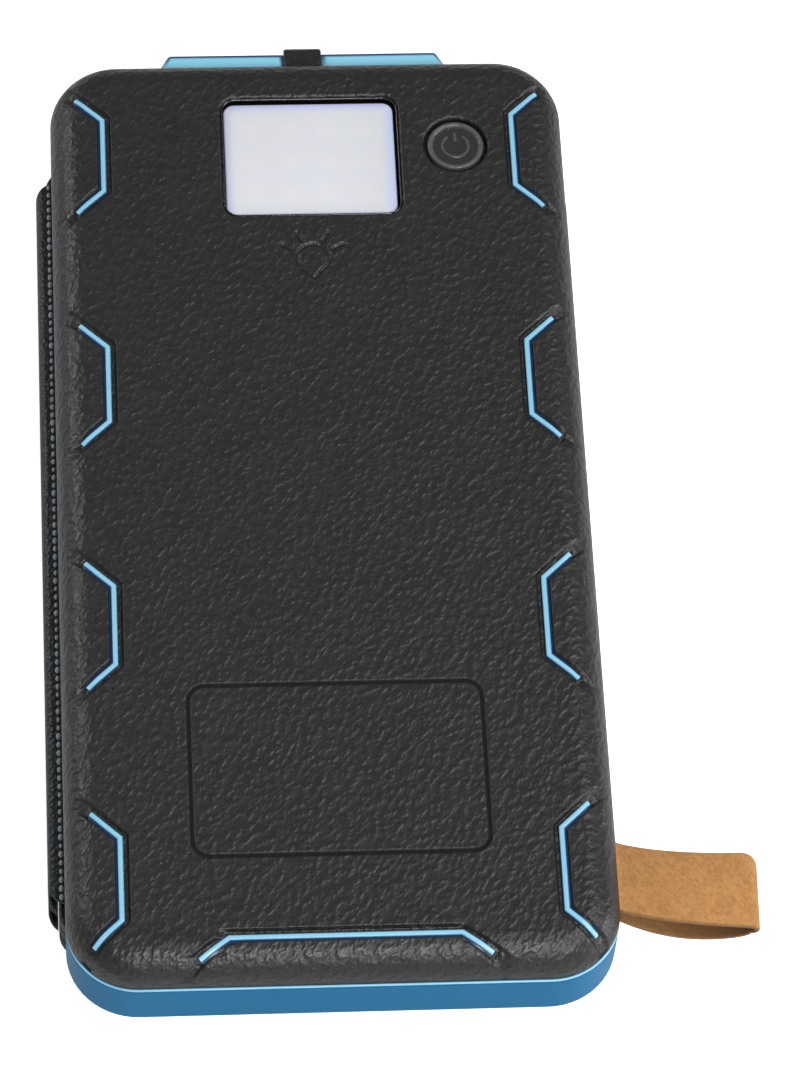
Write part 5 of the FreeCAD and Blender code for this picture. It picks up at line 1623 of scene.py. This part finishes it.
@dataclass
class Seam:
    """A row of stitches: short rounded threads, laid along a line and sunk a little in the leather."""

    length: float = 1.12
    thick: float = 0.74
    pitch: float = 1.45

    def along(self, points: np.ndarray, closed: bool, up: float) -> Surface:
        """Lay stitches along a line of points at one height.

        Each stitch is an ellipsoid, x = a cos p, y = b sin p cos t, z = c sin p sin t on 6 rings of 6
        points, set by its middle and its heading, and drawn a little tighter or looser than its neighbours.

        Args:
            points: Points of the line, shape (n, 3).
            closed: Whether the line is a ring.
            up: 1 if the stitches lie on an upper side, -1 on a lower side.

        Returns:
            All the stitches as one surface.
        """
        line = np.concatenate([points, points[:1]]) if closed else points
        run = np.linalg.norm(np.diff(line, axis=0), axis=1)
        far = np.concatenate([[0], np.cumsum(run)])
        count = max(2, int(far[-1] / self.pitch))
        at = (np.arange(count) + 0.5) * far[-1] / count
        middle = np.stack([np.interp(at, far, line[:, axis]) for axis in range(3)], axis=-1)
        ahead = np.stack([np.interp(at + 0.05, far, line[:, axis]) for axis in range(3)], axis=-1) - middle
        ahead /= np.linalg.norm(ahead, axis=1, keepdims=True)
        side = np.cross(ahead, [0, 0, 1.0])
        polar = np.linspace(0.12, math.pi - 0.12, 6)[:, None]
        turn = np.arange(6)[None, :] * math.pi / 3
        a = self.length / 2 * np.cos(polar) + 0 * turn
        b = self.thick / 2 * np.sin(polar) * np.cos(turn)
        c = self.thick / 2.4 * np.sin(polar) * np.sin(turn)
        local = np.stack([a, b, c], axis=-1).reshape(-1, 3)
        pull = np.random.default_rng(7).uniform(0.75, 1.12, (count, 1, 1))
        placed = (
            middle[:, None, :] + pull * local[None, :, 0:1] * ahead[:, None, :]
            + pull * local[None, :, 1:2] * side[:, None, :]
            + pull * local[None, :, 2:3] * np.array([0, 0, 1.0])
        )
        placed[..., 2] += up * 0.05
        one = grid_quads(6, 6, False, True)[:, ::-1]
        quads = (one[None] + 36 * np.arange(count)[:, None, None]).reshape(-1, 4)
        ends = [list(range(0, 6)), list(range(35, 29, -1))]
        caps = [[index + 36 * number for index in end] for number in range(count) for end in ends]
        return Surface(placed.reshape(-1, 3), quads, caps)


@dataclass
class Leaf:
    """One folding leaf: a leatherette tray and front frame, stitched round, with a laminate of cells."""

    shop: Workshop
    number: int
    radius: float = 4.0
    edge: float = 0.38
    window_edge: float = 0.25
    gap: float = 0.2
    laminate_radius: float = 2.5
    tray_rim: float = 1.0
    tray_floor: float = 0.6
    seam_inset: float = 1.5
    seam_sink: float = 0.14

    def __post_init__(self) -> None:
        """Read the leaf's boxes. A leaf whose front lies above its tray faces up."""
        prefix = f"leaf_{self.number}"
        self.body = prefix
        self.tray = NodeBox.of(f"{prefix}_back_skin")
        self.front = NodeBox.of(f"{prefix}_front_skin")
        self.laminate = NodeBox.of(f"{prefix}_solar_laminate")
        self.faces_up = self.front.centre[2] > self.tray.centre[2]

    def _outline_at(self, share: float, steps: int = 9) -> np.ndarray:
        """An outline between the leaf's own and its window's.

        Args:
            share: 0 for the leaf's own outline, 1 for its window's.
            steps: Points on each corner.

        Returns:
            Counter-clockwise points of shape (4 * steps, 2).
        """
        centre = self.front.centre
        outer = outline(self.front.half[0], self.front.half[1], self.radius, centre, steps)
        half = self.laminate.half + self.gap
        window = outline(half[0], half[1], self.laminate_radius + self.gap, centre, steps)
        return outer + share * (window - outer)

    def build(self) -> None:
        """Build the tray, the front frame with its sewn line, the stitches and the laminate."""
        seen_z = self.front.high[2] if self.faces_up else self.front.low[2]
        hidden_z = self.front.low[2] if self.faces_up else self.front.high[2]
        up = 1 if self.faces_up else -1
        rim = self.front.half[0] - self.laminate.half[0] - self.gap
        turn = np.linspace(0, math.pi / 2, 5)
        rows = [(0.0, hidden_z)]
        rows += [(self.edge * (1 - math.cos(a)) / rim,
                  seen_z - up * self.edge * (1 - math.sin(a))) for a in turn]
        for off, sink in ((-0.45, 0.0), (-0.2, 0.6), (0.0, 1.0), (0.2, 0.6), (0.45, 0.0)):
            rows.append(((self.seam_inset + off) / rim, seen_z - up * self.seam_sink * sink))
        rows += [
            (1 - self.window_edge * (1 - math.cos(a)) / rim,
             seen_z - up * self.window_edge * (1 - math.sin(a)))
            for a in turn[::-1]
        ]
        rows.append((1.0, hidden_z))
        sections = np.array([at_height(self._outline_at(share), z) for share, z in rows])
        front = carried(sections, ring=True)
        front = front if self.faces_up else front.flipped()
        body = self.body
        frame_piece = self.shop.piece(f"{body}_front_frame", front.mesh(f"{body}_front_frame"), "leatherette",
                                      body,
                                      (f"{body}_front_skin",))
        line = at_height(self._outline_at(self.seam_inset / rim, 14), seen_z)
        line[:, 2] -= up * self.seam_sink * 0.55
        stitches = Seam().along(line, True, up)
        self.shop.piece(f"{body}_stitches", stitches.mesh(f"{body}_stitches"), "leatherette", body,
                        finish="stitch_thread", sharp=60)
        self._tray(up)
        pane = plate(self.laminate, self.laminate_radius, 0.12, 0.12)
        self.shop.piece(f"{body}_cells", pane.mesh(f"{body}_cells"), "solar_laminate", body,
                        (f"{body}_solar_laminate",))

    def _tray(self, up: int) -> None:
        """The wrapped tray: its outer edge rounded, its wall and floor inside following the board.

        Args:
            up: 1 if the leaf faces up, -1 if it faces down.
        """
        low_high = (self.tray.low[2], self.tray.high[2])
        outer_z, rim_z = low_high if up > 0 else low_high[::-1]
        floor_z = outer_z + up * self.tray_floor
        profile = [(self.edge * (1 - math.sin(a)), outer_z + up * self.edge * (1 - math.cos(a)))
                   for a in np.linspace(0, math.pi / 2, 5)]
        profile += [(0.0, rim_z), (self.tray_rim, rim_z), (self.tray_rim, floor_z)]
        tray = carried(inset_stack(self.tray, self.radius, profile), start_cap=True, end_cap=True)
        tray = tray if up > 0 else tray.flipped()
        piece = self.shop.piece(f"{self.body}_tray", tray.mesh(f"{self.body}_tray"), "leatherette", self.body,
                                (f"{self.body}_back_skin",))


@dataclass
class HingeCloths:
    """The three bands of leatherette that the leaves fold on, each bent round from one body to the next."""

    shop: Workshop
    thick: float = 0.6
    bend: float = 0.9
    flange_seam: float = 2.1
    end_round: float = 3.0
    end_reach: float = -1.2

    def _band(self, corners: list[tuple[float, float]], radii: list[float], low_y: float,
              high_y: float) -> Surface:
        """A bent band: a rounded strip section carried along a path of runs and arcs in the XZ plane.
        Its ends are rounded off towards the fold, as a cut corner is.

        Args:
            corners: The path's corners as (x, z), its two ends among them.
            radii: The bend radius at each inner corner.
            low_y: Where the band starts along Y.
            high_y: Where it ends.

        Returns:
            The closed band.
        """
        path = [np.array(corners[0])]
        for before, corner, after, radius in zip(corners, corners[1:], corners[2:], radii):
            corner = np.array(corner)
            back, ahead = np.array(before) - corner, np.array(after) - corner
            back, ahead = back / np.hypot(*back), ahead / np.hypot(*ahead)
            half_turn = (math.pi - math.acos(float(np.clip(back @ ahead, -1, 1)))) / 2
            reach = radius * math.tan(half_turn)
            inward = (back + ahead) / np.hypot(*(back + ahead))
            middle = corner + inward * math.hypot(radius, reach)
            first = corner + back * reach - middle
            cross = np.sign(first[0] * (corner[1] - middle[1]) - first[1] * (corner[0] - middle[0]))
            angle = cross * np.linspace(0, 2 * half_turn, 9)[:, None]
            path += list(middle + np.cos(angle) * first + np.sin(angle) * np.array([-first[1], first[0]]))
        path.append(np.array(corners[-1]))
        fine = [path[0]]
        for start, end in zip(path, path[1:]):
            pieces = max(1, round(float(np.hypot(*(end - start))) / 0.6))
            fine += [start + (end - start) * step / pieces for step in range(1, pieces + 1)]
        line = np.array(fine)
        tangent = np.gradient(line, axis=0)
        tangent /= np.linalg.norm(tangent, axis=1, keepdims=True)
        section = outline((high_y - low_y) / 2, self.thick / 2, 0.28, np.zeros(2), 4)
        off = section[None, :, 1]
        x = line[:, 0:1] - off * tangent[:, 1:2]
        z = line[:, 1:2] + off * tangent[:, 0:1]
        outermost = np.abs(line[:, 0:1]).max()
        near = np.clip(self.end_round - (outermost - np.abs(line[:, 0:1])), 0, self.end_round)
        pulled = self.end_round - np.sqrt(self.end_round**2 - near**2) - self.end_reach
        y = (low_y + high_y) / 2 + section[None, :, 0] - pulled * np.sign(section[None, :, 0])
        return carried(np.stack([x, y, z], axis=-1), start_cap=True, end_cap=True)

    def _piece(self, name: str, band: Surface, node: str) -> bpy.types.Object:
        """Make a band a piece that stands for its CAD solid, with its faces turned outwards."""
        return self.shop.piece(name, band.mesh(name, face_out=True), "leatherette", "", (node,))

    def build(self) -> None:
        """Build the bands, each baked in place, and sew the first one's flange."""
        first, third = NodeBox.of("hinge_cloth_1"), NodeBox.of("hinge_cloth_3")
        second = NodeBox.of("hinge_cloth_2")
        half = self.thick / 2
        outer = first.low[0] + half
        top, low = first.high[2] - half, first.low[2] + half
        inner = NodeBox.of("leaf_1_back_skin").low[0] - 0.1
        span = first.low[1], first.high[1]
        one = self._band([(first.high[0], top), (outer, top), (outer, low), (inner, low)], [self.bend] * 2,
                         *span)
        one_piece = self._piece("hinge_band_1", one, "hinge_cloth_1")
        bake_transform(one_piece)
        tight = second.high[0] - half - 0.3
        edge = second.low[0]
        upper, lower = second.high[2] - half, second.low[2] + half
        bend = 0.48 * (upper - lower)
        two = self._band([(edge, upper), (tight, upper), (tight, lower), (edge, lower)], [bend] * 2, *span)
        two_piece = self._piece("hinge_band_2", two, "hinge_cloth_2")
        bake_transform(two_piece)
        top, low = third.high[2] - half, third.low[2] + half
        three = self._band([(inner, top), (outer, top), (outer, low), (inner, low)], [self.bend] * 2, *span)
        three_piece = self._piece("hinge_band_3", three, "hinge_cloth_3")
        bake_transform(three_piece)
        y = np.linspace(span[0] + 1.6, span[1] - 1.6, 40)
        line = at_height(np.column_stack([np.full(len(y), first.low[0] + self.flange_seam), y]),
                         first.high[2] - 0.02)
        seam = Seam().along(line, False, 1)
        self.shop.piece("hinge_seam", seam.mesh("hinge_seam"), "leatherette", "bank", finish="stitch_thread",
                        sharp=60)


@dataclass
class Strap:
    """The leather loop on its pin: one band folded at the far end, its lower layer bowed."""

    shop: Workshop
    thick: float = 1.1
    edge: float = 0.25
    far_radius: float = 0.85
    far_skew: float = 2.7
    near_droop: float = 2.2
    sag: float = 0.7
    neck: float = 0.62
    bow: float = 2.8
    bow_skew: float = 0.6
    corner_round: float = 1.8
    flat_length: float = 54.0

    def build(self) -> None:
        """Build the loop: a strip section carried round a closed path.

        The path is a half circle round the pin, a pinched neck, an upper run, a tight half circle at the
        far end and a lower run that bows down by a sine of a skewed share. Towards the far end the whole
        loop slews to the near side by one minus a falling cube, and the near edge droops by a square.
        """
        box, pin = NodeBox.of("strap_loop"), NodeBox.of("strap_pin")
        eye_x, eye_z = pin.centre[0], pin.centre[2]
        radius = pin.half[0] + 0.08 + self.thick / 2
        reach = box.high[0] - eye_x - self.far_radius - self.thick / 2
        turn = np.linspace(-math.pi / 2, math.pi / 2, 14)
        share = np.linspace(0, 1, 40)[1:-1]
        apart = self.neck + (radius - self.neck) * (1 - smooth_step(share / 0.14))
        apart = apart + (self.far_radius - self.neck) * smooth_step((share - 0.7) / 0.3)
        bowed = self.bow * np.sin(math.pi * share**1.15)**0.65
        upper = np.column_stack([share * reach, apart])
        far = np.column_stack([reach + self.far_radius * np.cos(turn[::-1]),
                               self.far_radius * np.sin(turn[::-1])])
        lower = np.column_stack([share * reach, -apart - bowed])[::-1]
        near = np.column_stack([-radius * np.cos(turn), radius * np.sin(turn)])
        path = np.concatenate([near, upper, far, lower])
        level_runs = np.zeros(len(near) + len(upper) + len(far))
        below = np.concatenate([level_runs, (bowed / self.bow)[::-1]])[:, None]
        tangent = np.roll(path, -1, axis=0) - np.roll(path, 1, axis=0)
        tangent /= np.linalg.norm(tangent, axis=1, keepdims=True)
        section = outline(box.half[1], self.thick / 2, self.edge, np.zeros(2), 3)
        across, off = section[None, :, 0], section[None, :, 1]
        x = path[:, 0:1] + off * -tangent[:, 1:2]
        z = path[:, 1:2] + off * tangent[:, 0:1]
        out = np.clip(path[:, 0:1] / reach, 0, 1.1)
        past = np.clip(path[:, 0:1] - (reach + self.far_radius - self.corner_round), 0, self.corner_round)
        cut = self.corner_round - np.sqrt(self.corner_round**2 - past**2)
        y = across - np.where(across > 0, cut, 0)
        y = y - self.far_skew * (1 - np.clip(1 - out, 0, 1)**3) - self.bow_skew * below
        on_near = 0.5 - across / (2 * box.half[1])
        z = z - (self.sag + self.near_droop * on_near) * out**2
        points = np.stack([eye_x + x, box.centre[1] + y, eye_z + z], axis=-1)
        mesh = carried(points, ring=True).mesh("strap_band", face_out=True)
        # The cut edges are darkened a little; the loop's inner side is painted darker brown towards the far
        # fold, as painted shade inside the loop.
        on_cut = np.where(np.abs(across) > box.half[1] - 0.6 * self.edge, 0.35, 0.0)
        inside = np.where(off < 0, 0.5 + 0.5 * np.clip(out, 0, 1)**1.5, 0.0)
        self.shop.mark(mesh, "cut_edge_and_inner_shade", np.maximum(on_cut, inside))
        piece = self.shop.piece("strap_band", mesh, "tan_leather", "strap", ("strap_loop",), sharp=50)


# ---------------------------------------------------------------- studio

@dataclass
class Studio:
    """Floor, lights, world and camera."""

    floor_size: float = 4.0
    floor_gap: float = 0.0001
    floor_tone: float = 0.86
    floor_glow: float = 0.8
    world_level: float = 0.2
    camera_place: tuple[float, float, float] = (-40.5, -419.0, 738.8)
    camera_ahead: tuple[float, float, float] = (0.063, 0.498, -0.865)
    camera_up: tuple[float, float, float] = (0.02, 0.866, 0.5)
    lens: float = 177.4

    def build(self) -> None:
        """Set the stage."""
        self._floor()
        self._world()
        self._lamp("front_softbox", (0.20, -0.62, 0.85), (0.32, 0.26), 7.0)
        self._lamp("side_softbox", (-0.76, 0.52, 0.54), (0.26, 0.26), 2.5)
        self._lamp("corner_softbox", (0.50, 0.03, 0.86), (0.3, 0.3), 3.1)
        self._lamp("low_fill", (1.0, -0.25, 0.16), (0.4, 0.24), 4.5)
        self._lamp("low_front", (0.06, -1.0, 0.50), (0.5, 0.08), 1.0)
        self._camera()

    def _floor(self) -> None:
        """A plain pale floor that reads white to the camera and keeps the shadow."""
        half = self.floor_size / 2
        mesh = bpy.data.meshes.new("floor")
        level = float(CAD_BOX[0][2]) - self.floor_gap
        corners = [(-half, -half, level), (half, -half, level), (half, half, level), (-half, half, level)]
        mesh.from_pydata(corners, [], [(0, 1, 2, 3)])
        floor = bpy.data.objects.new("floor", mesh)
        bpy.context.scene.collection.objects.link(floor)
        material = bpy.data.materials.new("pale_floor")
        material.use_nodes = True
        sheet = NodeSheet(material.node_tree)
        seen = sheet.add("ShaderNodeLightPath").outputs["Is Camera Ray"]
        glow = sheet.math("MULTIPLY", seen, self.floor_glow)
        tone = (self.floor_tone,) * 3 + (1,)
        shader = sheet.add("ShaderNodeBsdfPrincipled", Base_Color=tone, Roughness=0.9, Specular_IOR_Level=0.1,
                           Emission_Color=(1, 1, 1, 1), Emission_Strength=glow)
        sheet.add("ShaderNodeOutputMaterial", Surface=shader.outputs[0])
        mesh.materials.append(material)

    def _world(self) -> None:
        """An even pale world, white to the camera."""
        world = bpy.data.worlds.new("studio_world")
        world.use_nodes = True
        bpy.context.scene.world = world
        sheet = NodeSheet(world.node_tree)
        seen = sheet.add("ShaderNodeLightPath").outputs["Is Camera Ray"]
        level = sheet.math("MULTIPLY_ADD", seen, 1 - self.world_level, self.world_level)
        back = sheet.add("ShaderNodeBackground", Color=(1, 1, 1, 1), Strength=level)
        sheet.add("ShaderNodeOutputWorld", Surface=back.outputs[0])

    def _lamp(self, name: str, place: tuple[float, float, float], size: tuple[float, float],
              power: float) -> None:
        """A softbox that faces the middle of the case.

        Args:
            name: The lamp's name.
            place: Where it stands, in metres.
            size: Its width and height, in metres.
            power: Its power in watts.
        """
        light = bpy.data.lights.new(name, "AREA")
        light.shape = "RECTANGLE"
        light.size, light.size_y = size
        light.energy = power
        lamp = bpy.data.objects.new(name, light)
        bpy.context.scene.collection.objects.link(lamp)
        lamp.location = place
        lamp.rotation_euler = (Vector((0, 0, 0.01)) - Vector(place)).to_track_quat("-Z", "Y").to_euler()

    def _camera(self) -> None:
        """The camera, by its place, heading and upright."""
        data = bpy.data.cameras.new("camera")
        data.lens = self.lens
        data.sensor_width = 36.0
        data.clip_start, data.clip_end = 0.05, 20.0
        camera = bpy.data.objects.new("camera", data)
        bpy.context.scene.collection.objects.link(camera)
        back = -Vector(self.camera_ahead).normalized()
        right = Vector(self.camera_up).cross(back).normalized()
        up = back.cross(right)
        turn = Matrix((right, up, back)).transposed().to_4x4()
        camera.matrix_world = Matrix.Translation(Vector(self.camera_place) * MM) @ turn
        bpy.context.scene.camera = camera


# ---------------------------------------------------------------- whole object

SOFTENED = {
    "mid_frame": ("bank", 0.14),
    "usb_a_socket": ("bank", 0.1),
    "usb_c_socket": ("bank", 0.1),
    "micro_usb_socket": ("bank", 0.1),
    "socket_tongues": ("bank", 0.1),
    "case_screws": ("bank", 0.12),
}


def main() -> None:
    """Build every sub-assembly in order, dress the CAD nodes that stay, and set the stage."""
    logging.basicConfig(level=logging.INFO, format="%(message)s")
    bpy.context.scene.view_settings.view_transform = "Standard"
    shop = Workshop(FinishRack())
    shell = FrontShell(shop)
    shell.build()
    Accents(shop, shell).build()
    PortCover(shop).build()
    Lamp(shop, shell).build()
    PowerButton(shop).build()
    for node, (body, width) in SOFTENED.items():
        shop.softened(node, body, width)
    for number in (1, 2, 3):
        Leaf(shop, number).build()
    rear = plate(NodeBox.of("rear_solar_laminate"), Leaf.laminate_radius, 0.12, 0.12)
    shop.piece("rear_cells", rear.mesh("rear_cells"), "solar_laminate", "bank", ("rear_solar_laminate",))
    HingeCloths(shop).build()
    Strap(shop).build()
    for node, piece in frame["nodes"].items():
        if not piece.hide_render:
            shop.dress(node)
    Studio().build()
    log.info("%d pieces built", shop.count)


if __name__ == "__main__":
    main()
